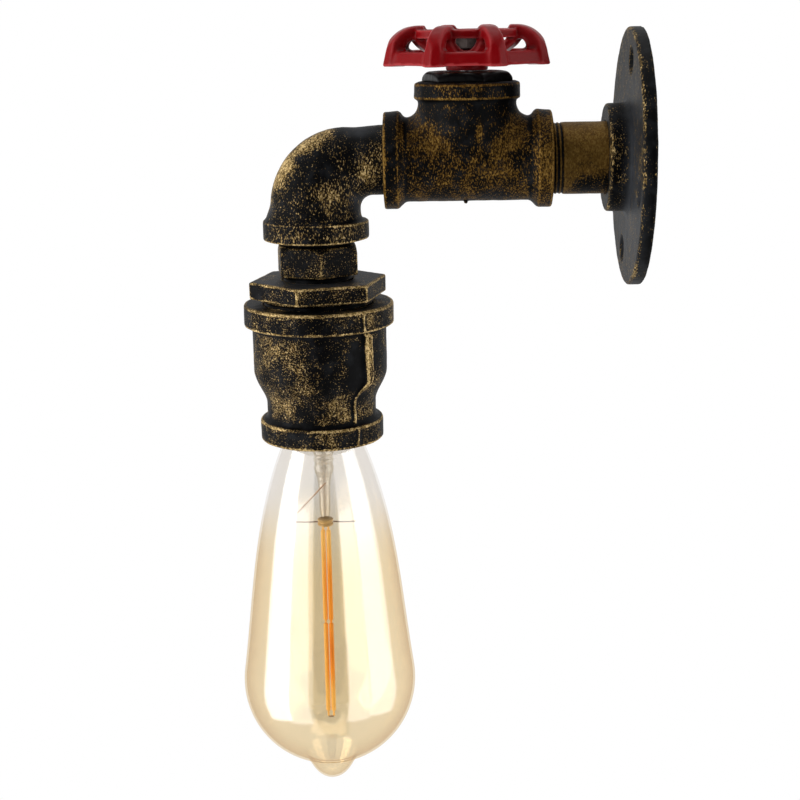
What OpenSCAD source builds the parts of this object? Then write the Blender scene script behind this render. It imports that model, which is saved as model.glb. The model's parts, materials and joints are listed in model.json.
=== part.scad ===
// Pipe wall light: a round wall flange carries a short pipe, a tee with a red
// handwheel on its branch, a street elbow and a lamp cup with a pear-shaped bulb.
// Origin: centre of the flange's back face. The wall is the plane y = 0,
// the light reaches out along -Y and the lamp hangs down along -Z.

/* [Wall flange] */
// Outer diameter of the wall plate
flange_d = 95; // [88:1:110]
// Thickness of the wall plate
flange_t = 5; // [4:0.5:7]
// Outer diameter of the threaded hub
hub_d = 40; // [37:1:46]
// How far the hub stands out from the plate
hub_len = 8; // [6:0.5:14]
// Pitch circle of the wall screw holes
screw_pcd = 73; // [64:1:76]
// Diameter of each wall screw hole
screw_hole_d = 6.5; // [4.5:0.5:8]
// Number of wall screw holes
screw_count = 4; // [3:1:6]
// Turn of the screw pattern from straight up
screw_turn = 14; // [0:1:90]
// Diameter of the countersink of each wall screw hole
screw_sink_d = 11; // [9:0.5:13]

/* [Pipe] */
// Outside diameter of the pipe and its threads
pipe_od = 26.7; // [25:0.1:28]
// Inside diameter of the pipe
pipe_bore = 21; // [19.5:0.5:22]
// Bare length of pipe between the hub and the tee
pipe_gap = 20; // [16:1:40]
// How far a male thread screws into its socket
thread_depth = 12; // [9:0.5:13]
// Radial play of a thread in its socket
thread_play = 0.1; // [0.05:0.01:0.15]
// Thread turns left bare in front of the tee
bare_turns = 3; // [1:1:4]
// Pitch of the bare thread turns
turn_pitch = 1.4; // [1.2:0.1:1.8]

/* [Tee] */
// Length of the tee's straight run
tee_run = 62.5; // [58:0.5:74]
// Outer diameter of the tee's body
tee_body_d = 30.6; // [30:0.2:33]
// Outer diameter of the bands on the run
tee_band_d = 36; // [34:0.5:40]
// Width of the bands on the run
tee_band_w = 8; // [6:0.5:10]
// Length of the bevel on the inner side of each band
tee_bevel = 2.7; // [1.5:0.1:3.5]
// Height of the branch face above the pipe axis
branch_rise = 28.3; // [27:0.1:34]
// Outer diameter of the band on the branch
branch_band_d = 39; // [37:0.5:42]
// Height of the band on the branch
branch_band_h = 5.4; // [4:0.2:7]
// Outer diameter of the branch under its band
branch_neck_d = 35; // [32:0.5:36]

/* [Bonnet and switch] */
// Width across the flats of the bonnet hexagon
bonnet_af = 29.5; // [27:0.1:32]
// Height of the bonnet hexagon
bonnet_h = 4.2; // [3.6:0.2:7]
// Turn of the bonnet hexagon
bonnet_turn = 20; // [-30:1:30]
// Depth of the turned-off corners of the bonnet hexagon
bonnet_cut = 2; // [1:0.2:3]
// Thickness of the bonnet's top wall
bonnet_top = 3.5; // [2.5:0.5:5]
// Outer diameter of the rotary switch
switch_d = 20; // [19:0.5:21]
// Height of the switch housing
switch_h = 10; // [9:0.5:12]
// Diameter of the switch rotor
rotor_d = 14; // [11:0.5:15]
// Diameter of the stem between switch and handwheel
stem_d = 6; // [5.5:0.5:8]
// Diameter of the stem's threaded end
stem_end_d = 5; // [4:0.5:5]

/* [Handwheel] */
// Diameter of the handwheel over the corners of its rim
wheel_d = 64.4; // [60:0.2:76]
// Height of the handwheel from rim to rib tops
wheel_h = 13.8; // [13:0.2:18]
// Gap between bonnet and the underside of the rim
wheel_gap = 2.7; // [2:0.1:6]
// Height of the rim
rim_h = 4.8; // [4:0.2:6.5]
// Outward flare of the rim's foot
rim_flare = 2; // [1:0.2:3]
// Wall of the rim
rim_wall = 3; // [2.5:0.1:4]
// Number of arched ribs
rib_count = 8; // [5:1:10]
// Width of each rib
rib_w = 6; // [4:0.2:6.6]
// Turn of the first rib
rib_turn = 20; // [0:1:45]
// Thickness of each rib at its top
rib_t = 4.2; // [2.5:0.1:5]
// Thickness of each rib at its foot
rib_foot = 6.2; // [3.5:0.1:7]
// Radius of the ring that joins the rib tops
crown_r = 19.4; // [17:0.1:22]
// Width of that ring
crown_w = 3.8; // [3:0.2:5]
// How far that ring lies below the rib tops
crown_drop = 1.5; // [0.5:0.1:2.5]
// Thickness of that ring
crown_t = 3; // [1.8:0.1:3.5]
// Depth of the bowl that the arms to the boss follow
arm_deep = 9.6; // [8.6:0.1:10.6]
// Width of each of the wheel's arms
arm_w = 6.4; // [4.4:0.2:6.8]
// Diameter of the hub boss
boss_d = 15.6; // [14:0.2:19]

/* [Elbow] */
// Distance from the tee's face to the drop's axis
elbow_reach = 26.1; // [24.5:0.1:36]
// Distance from the pipe axis to the elbow's lower face
elbow_drop = 28.5; // [28:0.1:38]
// Outer diameter of the elbow's lower leg
elbow_body_d = 34; // [33:0.2:36]
// Outer diameter of the elbow's band
elbow_band_d = 39.8; // [38:0.2:44]
// Height of the elbow's band
elbow_band_h = 6.6; // [4:0.2:7.4]
// Radius of the bend at the pipe's centre line
elbow_bend = 14.4; // [13:0.1:16]
// Radius inside the elbow's throat
elbow_throat = 4.7; // [3:0.1:5.5]

/* [Hex nipple and bush] */
// Width across the flats of the hex nipple
hexn_af = 29; // [28.5:0.5:33]
// Height of the nipple's hexagon
hexn_h = 11.3; // [8:0.1:14]
// Bare thread above the nipple's hexagon
hexn_upper_gap = 2.2; // [1:0.1:4]
// Bare thread below the nipple's hexagon
hexn_lower_gap = 2; // [1:0.1:4]
// Depth of the turned-off corners above the nipple's hexagon
hexn_cut = 2.6; // [1:0.1:3.5]
// Turn of the nipple's hexagon
hexn_turn = 8.7; // [0:0.1:60]
// Width across the flats of the reducing bush
bush_af = 46.4; // [44:0.2:50]
// Height of the bush hexagon
bush_h = 6.6; // [5:0.1:9]
// Turn of the bush hexagon
bush_turn = -13.4; // [-30:0.1:30]
// Outside diameter of the bush thread
bush_thread_d = 41.9; // [40:0.1:43]
// Bare thread between bush hexagon and lamp cup
bush_gap = 2.5; // [1:0.1:5]
// How far the bush screws into the lamp cup
bush_depth = 8.9; // [7:0.1:12]

/* [Lamp cup] */
// Outer diameter of the upper band
cup_band_d = 57.4; // [55:0.2:64]
// Height of the upper band
cup_band_h = 8.3; // [6:0.1:11]
// Outer diameter of the cup's body
cup_body_d = 51.4; // [49:0.2:54]
// Straight height of the body
cup_body_h = 17.6; // [14:0.2:24]
// Height of the taper below the body
cup_taper_h = 13; // [10:0.5:18]
// Outer diameter of the neck
cup_neck_d = 42.2; // [41.5:0.2:46]
// Height of the neck and its flare
cup_neck_h = 6.3; // [5:0.1:9]
// Outer diameter of the lower band
cup_foot_d = 47.6; // [46:0.2:52]
// Height of the lower band
cup_foot_h = 8; // [6:0.1:11]
// Bore of the cup's mouth
cup_bore = 38; // [37:0.2:39]
// Angle of the mould seam rib
seam_turn = 42; // [0:1:90]
// Width of the mould seam rib, as an angle
seam_width = 7; // [4:0.5:10]
// How far the seam rib stands out from the body
seam_proud = 2.4; // [1:0.1:2.8]

/* [Lampholder] */
// Thickness of the steel plate that carries the lampholder
plate_t = 2; // [1.5:0.1:3]
// Outer diameter of the porcelain lampholder
holder_d = 36; // [34.5:0.1:36.5]
// Thickness of the lampholder's top
holder_top_t = 3.4; // [3:0.1:5]
// Height of the wiring chamber
chamber_h = 5.6; // [5:0.1:8]
// Thickness of the porcelain deck over the lamp
deck_t = 3; // [2.5:0.1:4]
// Length of the lampholder's skirt below the deck
skirt_len = 26.4; // [25:0.1:27]
// Inside diameter of the brass screw shell
shell_bore = 27.2; // [26.9:0.1:27.6]
// Outside diameter of the hollow stud
stud_d = 10; // [9.5:0.5:12]
// Bore of the hollow stud
stud_bore = 7; // [6.6:0.2:8]

/* [Bulb] */
// Largest diameter of the glass
bulb_d = 69.4; // [58:0.2:76]
// Length of the glass from cap to tip
bulb_len = 148.9; // [125:0.1:165]
// Diameter of the glass at the cap
bulb_neck_d = 26.6; // [26.4:0.1:28]
// Height of the rounded bottom of the glass
bulb_bowl = 34.5; // [30:0.5:42]
// Height of the pip at the tip
pip_h = 9.5; // [2:0.5:12]
// Wall of the glass
glass_t = 0.8; // [0.6:0.1:1.2]
// Outside diameter of the screw cap
cap_d = 26.2; // [25.8:0.1:26.4]
// Length of the screw cap with its contact
cap_len = 26; // [25.5:0.1:27]
// Pitch of the cap's thread
cap_pitch = 3.6; // [3:0.1:4]
// Length of the filament group
filament_len = 82; // [60:1:90]
// Distance between the two filament columns
filament_gap = 2.2; // [2.1:0.1:6]
// Diameter of a filament stick
filament_d = 1.8; // [1:0.1:2]
// Diameter of the glass stem
stem_glass_d = 7.6; // [6:0.2:10]
// Length of the glass stem
stem_glass_len = 21; // [16:1:26]
// Diameter of the glass rod under the stem
mast_d = 4.4; // [2:0.2:5]
// Length of that rod
mast_len = 16; // [12:1:22]
// Diameter of the clamp at the rod's end
clamp_d = 6.2; // [5:0.2:8]
// Height of that clamp
clamp_h = 3; // [2:0.5:4]
// Diameter of a support wire
support_d = 0.6; // [0.4:0.1:1]
// How far the support wires reach out
support_reach = 12; // [8:0.5:14]
// Angle at which the pip leaves the round bottom
pip_lean = 70; // [66:1:80]

/* [Wiring] */
// Outside diameter of an insulated wire
wire_d = 2; // [1.6:0.1:2.2]
// Length of the terminal block
block_len = 16; // [14:0.5:18]
// Width of the terminal block
block_w = 11; // [10:0.5:12]

/* [Hidden] */
$fn = 96;
fit = 0.04;
run_fit = 0.06;
seat_play = 0.1;
moving_gap = 0.3;
end_gap = 0.5;
edge = 1;
past = 1;
hex_corner = 30;
quarter = 90;
half_turn = 180;
turn = 360;
lip_turn = 60;

// Finishes
antique = "#4a3c22";
black_iron = "#1b1a1a";
wheel_red = "#9c1b1f";
steel = "silver";
brass = "goldenrod";
porcelain = "ivory";
phenolic = "#2b2320";
amber_glass = [0.95, 0.85, 0.62, 0.45];

// Stations along the pipe, measured out from the wall
socket_d = pipe_od + 2 * thread_play;
hub_face = flange_t + hub_len;
nipple_start = 4 * end_gap;
tee_start = hub_face + pipe_gap;
tee_end = tee_start + tee_run;
branch_at = tee_start + tee_run / 2;
drop_at = tee_end + elbow_reach;
socket_depth = thread_depth + end_gap;
waterway = pipe_bore + 1;
block_start = hub_face - block_len / 4;
block_end = block_start + block_len;
earth_at = flange_t + hub_len / 2;

// Levels of the branch, from the pipe axis up
bonnet_z = branch_rise + bonnet_h;
housing_top = bonnet_z - bonnet_top;
housing_bottom = housing_top - switch_h;
base_t = 2.5;
base_bottom = housing_bottom - base_t;
ring_t = 2.5;
ring_bottom = base_bottom - ring_t;
spigot_bottom = ring_bottom - end_gap;
branch_socket = spigot_bottom - end_gap;
housing_wall = 1.4;
rotor_h = 4.5;
rotor_top = housing_top - housing_wall - end_gap;
rotor_bottom = rotor_top - rotor_h;
blade_x = 4.5;
blade_bottom = ring_bottom - 3;
rim_z = bonnet_z + wheel_gap;
boss_z = bonnet_z + moving_gap;
shoulder_z = boss_z + 2;
boss_top = rim_z + rim_h - 0.2;
washer_t = 1;
nut_h = 4;
nut_af = 8;
washer_top = boss_top + washer_t;
nut_top = washer_top + nut_h;
stem_top = nut_top + 1;

// Levels of the drop, from the pipe axis down
elbow_face = -elbow_drop;
hexn_top = elbow_face - hexn_upper_gap;
hexn_bottom = hexn_top - hexn_h;
bush_top = hexn_bottom - hexn_lower_gap;
bush_bottom = bush_top - bush_h;
cup_top = bush_bottom - bush_gap;
bush_end = cup_top - bush_depth;
cup_step = bush_end - plate_t;
holder_deck = cup_step - holder_top_t - chamber_h;
shell_top = holder_deck - deck_t;
contact_h = 1;
contact_d = 8;
lamp_contact = shell_top - contact_h - moving_gap;
lamp_joint = lamp_contact - cap_len;
lamp_tip = lamp_joint - bulb_len;
cup_shoulder = cup_top - cup_band_h - cup_body_h;
cup_waist = cup_shoulder - cup_taper_h;
cup_foot = cup_waist - cup_neck_h;
cup_bottom = cup_foot - cup_foot_h;
shell_t = 0.5;
shell_len = 24;
chamber_bore = 30;
terminal_x = 9;
terminal_w = 6;
terminal_h = 4;
stud_nut_h = 4.5;
stud_nut_af = 15;
stud_top = bush_end + stud_nut_h + end_gap;
stud_bottom = cup_step - holder_top_t;

// Levels inside the bulb
bowl_z = lamp_tip + pip_h + bulb_bowl;
stem_end = lamp_joint - stem_glass_len;
mast_end = stem_end - mast_len;
filament_top = mast_end - clamp_h;

function mix(a, b, t) = a + (b - a) * t;
function unit(v) = v / norm(v);
function arc(c, r, a0, a1, n = 6) =
    [for (i = [0:n]) let (a = mix(a0, a1, i / n)) c + r * [cos(a), sin(a)]];
function bezier(p, t) =
    pow(1 - t, 3) * p[0] + 3 * t * pow(1 - t, 2) * p[1] + 3 * t * t * (1 - t) * p[2] + pow(t, 3) * p[3];
function corner_r(af) = af / 2 / cos(hex_corner);

// Rounds the corners of a wire's route by cutting each corner twice
function cut_corners(p) = concat(
    [p[0]],
    [for (i = [0:len(p) - 2]) for (t = [0.25, 0.75]) mix(p[i], p[i + 1], t)],
    [p[len(p) - 1]]);
function smooth_route(p) = cut_corners(cut_corners(p));

// Turns the Z axis out from the wall, so that heights become stations along the pipe
module along_pipe() {
    rotate([90, 0, 0]) children();
}

module at_branch() {
    translate([0, -branch_at, 0]) children();
}

module at_drop() {
    translate([0, -drop_at, 0]) children();
}

module ring(d_out, d_in, z0, z1) {
    translate([0, 0, z0]) difference() {
        cylinder(d = d_out, h = z1 - z0);
        translate([0, 0, -past]) cylinder(d = d_in, h = z1 - z0 + 2 * past);
    }
}

module rod(d, z0, z1) {
    translate([0, 0, z0]) cylinder(d = d, h = z1 - z0);
}

module hexagon(af, z0, z1) {
    translate([0, 0, z0]) cylinder(r = corner_r(af), h = z1 - z0, $fn = 6);
}

// A hexagon whose corners are turned off at its upper end, as far inwards as they stand out
module turned_hexagon(af, z0, z1, cut) {
    intersection() {
        hexagon(af, z0, z1);
        rotate_extrude() polygon([
            [0, z0], [corner_r(af) + past, z0], [corner_r(af), z1 - cut], [af / 2, z1], [0, z1]
        ]);
    }
}

// Closes a row of rings of points into one solid
module skin(rings) {
    m = len(rings[0]);
    n = len(rings);
    faces = concat(
        [for (i = [0:n - 2]) for (k = [0:m - 1]) [i * m + k, (i + 1) * m + k, i * m + (k + 1) % m]],
        [for (i = [0:n - 2]) for (k = [0:m - 1])
            [(i + 1) * m + k, (i + 1) * m + (k + 1) % m, i * m + (k + 1) % m]],
        [for (k = [1:m - 2]) [0, k, k + 1]],
        [for (k = [1:m - 2]) [(n - 1) * m, (n - 1) * m + k + 1, (n - 1) * m + k]]);
    polyhedron([for (r = rings) for (p = r) p], faces);
}

// A round wire of eight sides along a smooth route
module wire(route) {
    path = smooth_route(route);
    last = len(path) - 1;
    sides = 8;
    rings = [for (i = [0:last])
        let (along = unit(path[min(i + 1, last)] - path[max(i - 1, 0)]),
             u = unit(cross(along, [1, 0, 0])), v = cross(along, u))
        [for (k = [0:sides - 1])
            path[i] + wire_d / 2 * (u * cos(turn * k / sides) + v * sin(turn * k / sides))]];
    skin(rings);
}

// Wall flange with its threaded hub
module wall_flange() {
    r = flange_d / 2;
    hr = hub_d / 2;
    sink_h = (screw_sink_d - screw_hole_d) / 2;
    color(antique) along_pipe() difference() {
        rotate_extrude() polygon(concat(
            [[socket_d / 2, 0], [r, 0]],
            arc([r - edge, flange_t - edge], edge, 0, 90),
            arc([hr + edge, flange_t + edge], edge, 270, 180),
            arc([hr - edge, hub_face - edge], edge, 0, 90),
            [[socket_d / 2, hub_face]]));
        for (i = [0:screw_count - 1]) let (a = screw_turn + turn * i / screw_count)
            translate([sin(a) * screw_pcd / 2, cos(a) * screw_pcd / 2, -past])
                cylinder(d = screw_hole_d, h = flange_t + 2 * past);
        for (i = [0:screw_count - 1]) let (a = screw_turn + turn * i / screw_count)
            translate([sin(a) * screw_pcd / 2, cos(a) * screw_pcd / 2, flange_t - sink_h])
                cylinder(d1 = screw_hole_d, d2 = screw_sink_d + 2 * past, h = sink_h + past);
        earth_hole();
    }
}

earth_d = 4;

module earth_hole() {
    translate([-hub_d / 2 - past, 0, earth_at]) rotate([0, 90, 0])
        cylinder(d = earth_d + 2 * seat_play, h = hub_d / 2);
}

// Short pipe between the flange and the tee
module wall_nipple() {
    groove = 0.6;
    root = pipe_od / 2 - groove;
    top = pipe_od / 2 + past;
    half_w = groove + past;
    color(antique) along_pipe() difference() {
        ring(pipe_od, pipe_bore, nipple_start, tee_start + thread_depth);
        for (i = [0:bare_turns - 1]) translate([0, 0, tee_start - turn_pitch * (i + groove)])
            rotate_extrude() polygon([[root, 0], [top, -half_w], [top, half_w]]);
        earth_hole();
    }
}

// Grub screw that locks the pipe in the hub and bonds the metalwork
module earth_screw() {
    tip = pipe_bore / 2 - 1;
    head = hub_d / 2 - end_gap;
    slot_w = 0.8;
    slot_deep = 1.2;
    color(brass) along_pipe() translate([-head, 0, earth_at]) rotate([0, 90, 0]) difference() {
        cylinder(d = earth_d, h = head - tip);
        translate([-earth_d, -slot_w / 2, -past]) cube([2 * earth_d, slot_w, past + slot_deep]);
    }
}

// Outline of the tee's run: a band at each end, bevelled down to the body
module tee_run_solid() {
    br = tee_band_d / 2;
    r = tee_body_d / 2;
    rotate_extrude() polygon(concat(
        [[0, tee_start]],
        arc([br - edge, tee_start + edge], edge, -90, 0),
        [[br, tee_start + tee_band_w - tee_bevel], [r, tee_start + tee_band_w]],
        [[r, tee_end - tee_band_w], [br, tee_end - tee_band_w + tee_bevel]],
        arc([br - edge, tee_end - edge], edge, 0, 90),
        [[0, tee_end]]));
}

// Outline of the tee's branch: it flares from the body to its neck and band
module tee_branch_solid() {
    br = branch_band_d / 2;
    band_z = branch_rise - branch_band_h;
    under = (branch_band_d - branch_neck_d) / 2;
    rotate_extrude() polygon(concat(
        [[0, 0], [tee_body_d / 2, 0], [tee_body_d / 2, tee_body_d / 4], [branch_neck_d / 2, band_z - under]],
        arc([br - edge, band_z + edge], edge, -45, 0),
        arc([br - edge, branch_rise - edge], edge, 0, 90),
        [[0, branch_rise]]));
}

// Tee with the handwheel's branch on top
module tee() {
    color(antique) difference() {
        union() {
            along_pipe() tee_run_solid();
            at_branch() tee_branch_solid();
        }
        along_pipe() {
            rod(waterway, tee_start, tee_end);
            rod(socket_d, tee_start - past, tee_start + socket_depth);
            rod(socket_d, tee_end - socket_depth, tee_end + past);
        }
        at_branch() {
            rod(waterway, 0, branch_rise);
            rod(socket_d, branch_socket, branch_rise + past);
        }
    }
}

// Hexagon bonnet that closes the branch and houses the switch
module bonnet() {
    color(black_iron) at_branch() difference() {
        union() {
            rotate(bonnet_turn) turned_hexagon(bonnet_af, branch_rise, bonnet_z, bonnet_cut);
            rod(pipe_od, spigot_bottom, branch_rise + edge / 2);
        }
        rod(switch_d + 2 * seat_play, spigot_bottom - past, housing_top);
        rod(stem_d + 2 * run_fit, housing_top - past, bonnet_z + past);
    }
}

// Cup of the rotary switch, seated under the bonnet's top wall
module switch_housing() {
    inner_top = housing_top - housing_wall;
    color(phenolic) at_branch() difference() {
        rod(switch_d, housing_bottom, housing_top);
        rod(switch_d - 2 * housing_wall, housing_bottom - past, inner_top);
        rod(stem_d + 2 * run_fit, inner_top - past, housing_top + past);
    }
}

blade_w = 4;
blade_t = 0.8;

// Base of the switch, with slots for its two contact blades
module switch_base() {
    color(phenolic) at_branch() difference() {
        rod(switch_d, base_bottom, housing_bottom);
        for (s = [-1, 1]) translate([s * blade_x, 0, base_bottom - past])
            translate([-blade_t / 2 - fit, -blade_w / 2 - fit, 0])
                cube([blade_t + 2 * fit, blade_w + 2 * fit, base_t + 2 * past]);
    }
}

// Two spring blades that the rotor joins or parts
module switch_contacts() {
    color(brass) at_branch() for (s = [-1, 1])
        translate([s * blade_x - blade_t / 2, -blade_w / 2, blade_bottom])
            cube([blade_t, blade_w, rotor_bottom - moving_gap - blade_bottom]);
}

// Threaded ring that holds the switch up in the bonnet
module switch_ring() {
    color(brass) at_branch() ring(switch_d, switch_d - 2 * ring_t, ring_bottom, base_bottom);
}

// Cam on the stem inside the switch
module switch_rotor() {
    flats = rotor_d * 0.72;
    color(porcelain) at_branch() difference() {
        intersection() {
            rod(rotor_d, rotor_bottom, rotor_top);
            translate([-rotor_d, -flats / 2, rotor_bottom]) cube([2 * rotor_d, flats, rotor_h]);
        }
        rod(stem_d + 2 * fit, rotor_bottom - past, rotor_top + past);
    }
}

// Stem that carries the handwheel and turns the switch
module valve_stem() {
    color(steel) at_branch() {
        rod(stem_d, rotor_bottom, shoulder_z);
        rod(stem_end_d, shoulder_z, stem_top);
    }
}

wheel_r = wheel_d / 2;
flat_r = wheel_r * cos(half_turn / rib_count);
crown_z = wheel_h - crown_drop;
crown_in = crown_r - crown_w / 2;
crown_out = crown_r + crown_w / 2;
boss_r = boss_d / 2;
boss_low = boss_z - rim_z;
boss_high = boss_top - rim_z;

// A quarter of an oval about a point on the rim's floor under the crown
function rib_arc(reach, height, a0, a1, n = 14) =
    [for (i = [0:n]) let (a = mix(a0, a1, i / n)) [crown_r + reach * cos(a), height * sin(a)]];

// Upright outline of one rib, from the rim's corner over to the crown
module rib_outline() {
    reach = wheel_r - crown_r;
    polygon(concat(
        rib_arc(reach, wheel_h, 0, quarter),
        [[crown_in, wheel_h - edge], [crown_in, wheel_h - rib_t]],
        rib_arc(reach - rib_foot, wheel_h - rib_t, quarter, 0)));
}

// Rim with a flat face between each two ribs, leaning inwards
module wheel_rim() {
    difference() {
        ring(wheel_d, 2 * (flat_r - rim_flare - rim_wall), 0, rim_h);
        for (i = [0:rib_count - 1]) rotate(rib_turn + turn * (i + 0.5) / rib_count)
            translate([flat_r, 0, 0]) rotate([0, -atan2(rim_flare, rim_h), 0])
                translate([0, -wheel_r, -rim_h]) cube([wheel_r, wheel_d, 3 * rim_h]);
    }
}

// Upright outline of one arm, which follows a bowl from the crown down into the boss
module arm_outline() {
    level = crown_z - crown_t / 2;
    inside = boss_r * 0.8;
    top_deep = (level - boss_high) / sin(acos(boss_r / crown_in));
    steps = 12;
    polygon(concat(
        [for (i = [0:steps]) let (a = acos(inside / crown_out) * i / steps)
            [crown_out * cos(a), level - arm_deep * sin(a)]],
        [for (i = [steps:-1:0]) let (a = acos(inside / crown_in) * i / steps)
            [crown_in * cos(a), level - top_deep * sin(a)]]));
}

module at_ribs() {
    for (i = [0:rib_count - 1]) rotate(rib_turn + turn * i / rib_count) rotate([quarter, 0, 0]) children();
}

// Cast handwheel: faceted rim, arched ribs, crown ring and an arm from each rib to the boss
module handwheel() {
    color(wheel_red) at_branch() translate([0, 0, rim_z]) difference() {
        union() {
            wheel_rim();
            ring(2 * crown_out, 2 * crown_in, crown_z - crown_t, crown_z);
            rod(boss_d, boss_low, boss_high);
            at_ribs() translate([0, 0, -rib_w / 2]) linear_extrude(rib_w) rib_outline();
            at_ribs() translate([0, 0, -arm_w / 2]) linear_extrude(arm_w) arm_outline();
        }
        rod(stem_end_d + 2 * fit, boss_low - past, boss_high + past);
        rod(stem_d + 2 * fit, boss_low - past, shoulder_z - rim_z);
    }
}

module wheel_washer() {
    color(steel) at_branch() ring(nut_af + 3, stem_end_d + 2 * fit, boss_top, washer_top);
}

module wheel_nut() {
    color(steel) at_branch() difference() {
        turned_hexagon(nut_af, washer_top, nut_top, 0.4);
        rod(stem_end_d + 2 * fit, washer_top - past, nut_top + past);
    }
}

elbow_start_r = pipe_od / 2 - 0.75;
elbow_end_r = elbow_body_d / 2;

// One fan-shaped cut through the elbow, between the throat's arc and the outer arc
function elbow_cut(a, sides) =
    let (swell = mix(elbow_start_r, elbow_end_r, a / quarter),
         way = [-sin(a), cos(a)],
         outer = [elbow_bend, -elbow_bend] + (elbow_bend + swell) * way,
         inner = [elbow_end_r + elbow_throat, -elbow_start_r - elbow_throat] + elbow_throat * way,
         mid = (outer + inner) / 2,
         half = (outer - inner) / 2)
    [for (k = [0:sides - 1]) let (b = turn * k / sides, p = mid + half * cos(b))
        [-swell * sin(b), p[0], p[1]]];

// The bend, with its male leg widening to the thread and its other leg straight down
module elbow_bend_solid() {
    sides = 40;
    steps = 12;
    thread_r = pipe_od / 2 - fit;
    start = [for (k = [0:sides - 1]) let (b = turn * k / sides)
        [-thread_r * sin(b), elbow_reach + thread_depth / 4, thread_r * cos(b)]];
    finish = [for (k = [0:sides - 1]) let (b = turn * k / sides)
        [-elbow_end_r * sin(b), -elbow_end_r * cos(b), elbow_face + elbow_band_h / 2]];
    skin(concat([start], [for (i = [0:steps]) elbow_cut(quarter * i / steps, sides)], [finish]));
}

// Street elbow: male end in the tee, banded female end over the drop
module street_elbow() {
    br = elbow_band_d / 2;
    band_top = elbow_face + elbow_band_h;
    fillet = br - elbow_end_r - edge / 2;
    leg_r = elbow_end_r - edge / 4;
    male_end = elbow_reach + thread_depth;
    color(antique) at_drop() difference() {
        union() {
            elbow_bend_solid();
            translate([0, male_end, 0]) along_pipe() cylinder(d = pipe_od, h = thread_depth);
            rotate_extrude() polygon(concat(
                [[0, elbow_face]],
                arc([br - edge, elbow_face + edge], edge, -90, 0),
                arc([br - edge, band_top - edge], edge, 0, lip_turn),
                arc([leg_r + fillet, band_top + fillet], fillet, 270, 180),
                [[0, band_top + fillet]]));
        }
        translate([0, male_end + past, 0]) along_pipe()
            cylinder(d = pipe_bore, h = male_end + past - elbow_bend);
        translate([0, elbow_bend, -elbow_bend]) rotate([quarter, 0, quarter]) rotate([0, 0, quarter])
            rotate_extrude(angle = quarter) translate([elbow_bend, 0]) circle(d = pipe_bore - end_gap);
        rod(pipe_bore, elbow_face - past, -elbow_bend);
        rod(socket_d, elbow_face - past, elbow_face + socket_depth);
    }
}

// Hex nipple between elbow and bush
module hex_nipple() {
    color(antique) at_drop() difference() {
        union() {
            rod(pipe_od, hexn_bottom - hexn_lower_gap - thread_depth, elbow_face + thread_depth);
            rotate(hexn_turn) turned_hexagon(hexn_af, hexn_bottom, hexn_top, hexn_cut);
        }
        rod(pipe_bore, hexn_bottom - hexn_lower_gap - thread_depth - past, elbow_face + thread_depth + past);
    }
}

// Reducing bush: hexagon outside, socket for the nipple inside
module reducing_bush() {
    color(antique) at_drop() difference() {
        union() {
            rotate(bush_turn) hexagon(bush_af, bush_bottom, bush_top);
            rod(bush_thread_d, bush_end, bush_bottom);
        }
        rod(pipe_bore + 2, bush_end - past, bush_top);
        rod(socket_d, bush_top - socket_depth, bush_top + past);
    }
}

function cup_outline(proud_band, proud_body, proud_neck) =
    let (br = cup_band_d / 2 + proud_band, r = cup_body_d / 2 + proud_body,
         nr = cup_neck_d / 2 + proud_neck, fr = cup_foot_d / 2 + proud_band,
         under = cup_top - cup_band_h, flare = (fr - nr) * 0.9)
    concat(
        arc([br - edge, cup_top - edge], edge, 90, 0),
        arc([br - edge, under + edge], edge, 0, -lip_turn),
        [[r, under - edge]],
        [for (i = [0:12]) let (t = i / 12)
            [mix(r, nr, (1 - cos(half_turn * t)) / 2), mix(cup_shoulder, cup_waist, t)]],
        arc([nr + flare, cup_foot + flare], flare, half_turn, half_turn + lip_turn),
        arc([fr - edge, cup_foot - edge], edge, lip_turn, 0),
        arc([fr - edge, cup_bottom + edge], edge, 0, -90));

// Lamp cup: reducing socket whose lower end is the lamp's mouth
module lamp_cup() {
    inside = cup_neck_d / 2 - 1;
    color(antique) at_drop() difference() {
        union() {
            rotate_extrude() polygon(concat([[0, cup_top]], cup_outline(0, 0, 0), [[0, cup_bottom]]));
            for (side = [0, half_turn]) rotate(seam_turn - seam_width / 2 + side)
                rotate_extrude(angle = seam_width) polygon(concat(
                    [[inside, cup_top]], cup_outline(0.5, seam_proud, 0.8), [[inside, cup_bottom]]));
        }
        rod(cup_bore, cup_bottom - past, cup_top);
        rod(bush_thread_d + 2 * thread_play, cup_step, cup_top + past);
    }
}

// Steel plate clamped between the bush and the step in the cup
module holder_plate() {
    color(steel) at_drop() ring(bush_thread_d, stud_d + 2 * seat_play, cup_step, bush_end);
}

// Hollow stud through the plate; the wires run down inside it
module hollow_stud() {
    color(steel) at_drop() ring(stud_d, stud_bore, stud_bottom, stud_top);
}

module stud_nut() {
    color(steel) at_drop() difference() {
        turned_hexagon(stud_nut_af, bush_end, bush_end + stud_nut_h, 0.6);
        rod(stud_d + 2 * fit, bush_end - past, bush_end + stud_nut_h + past);
    }
}

// Porcelain top of the lampholder, screwed on the stud
module holder_cap() {
    color(porcelain) at_drop() ring(holder_d, stud_d + 2 * fit, cup_step - holder_top_t, cup_step);
}

rivet_d = 3;

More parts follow.
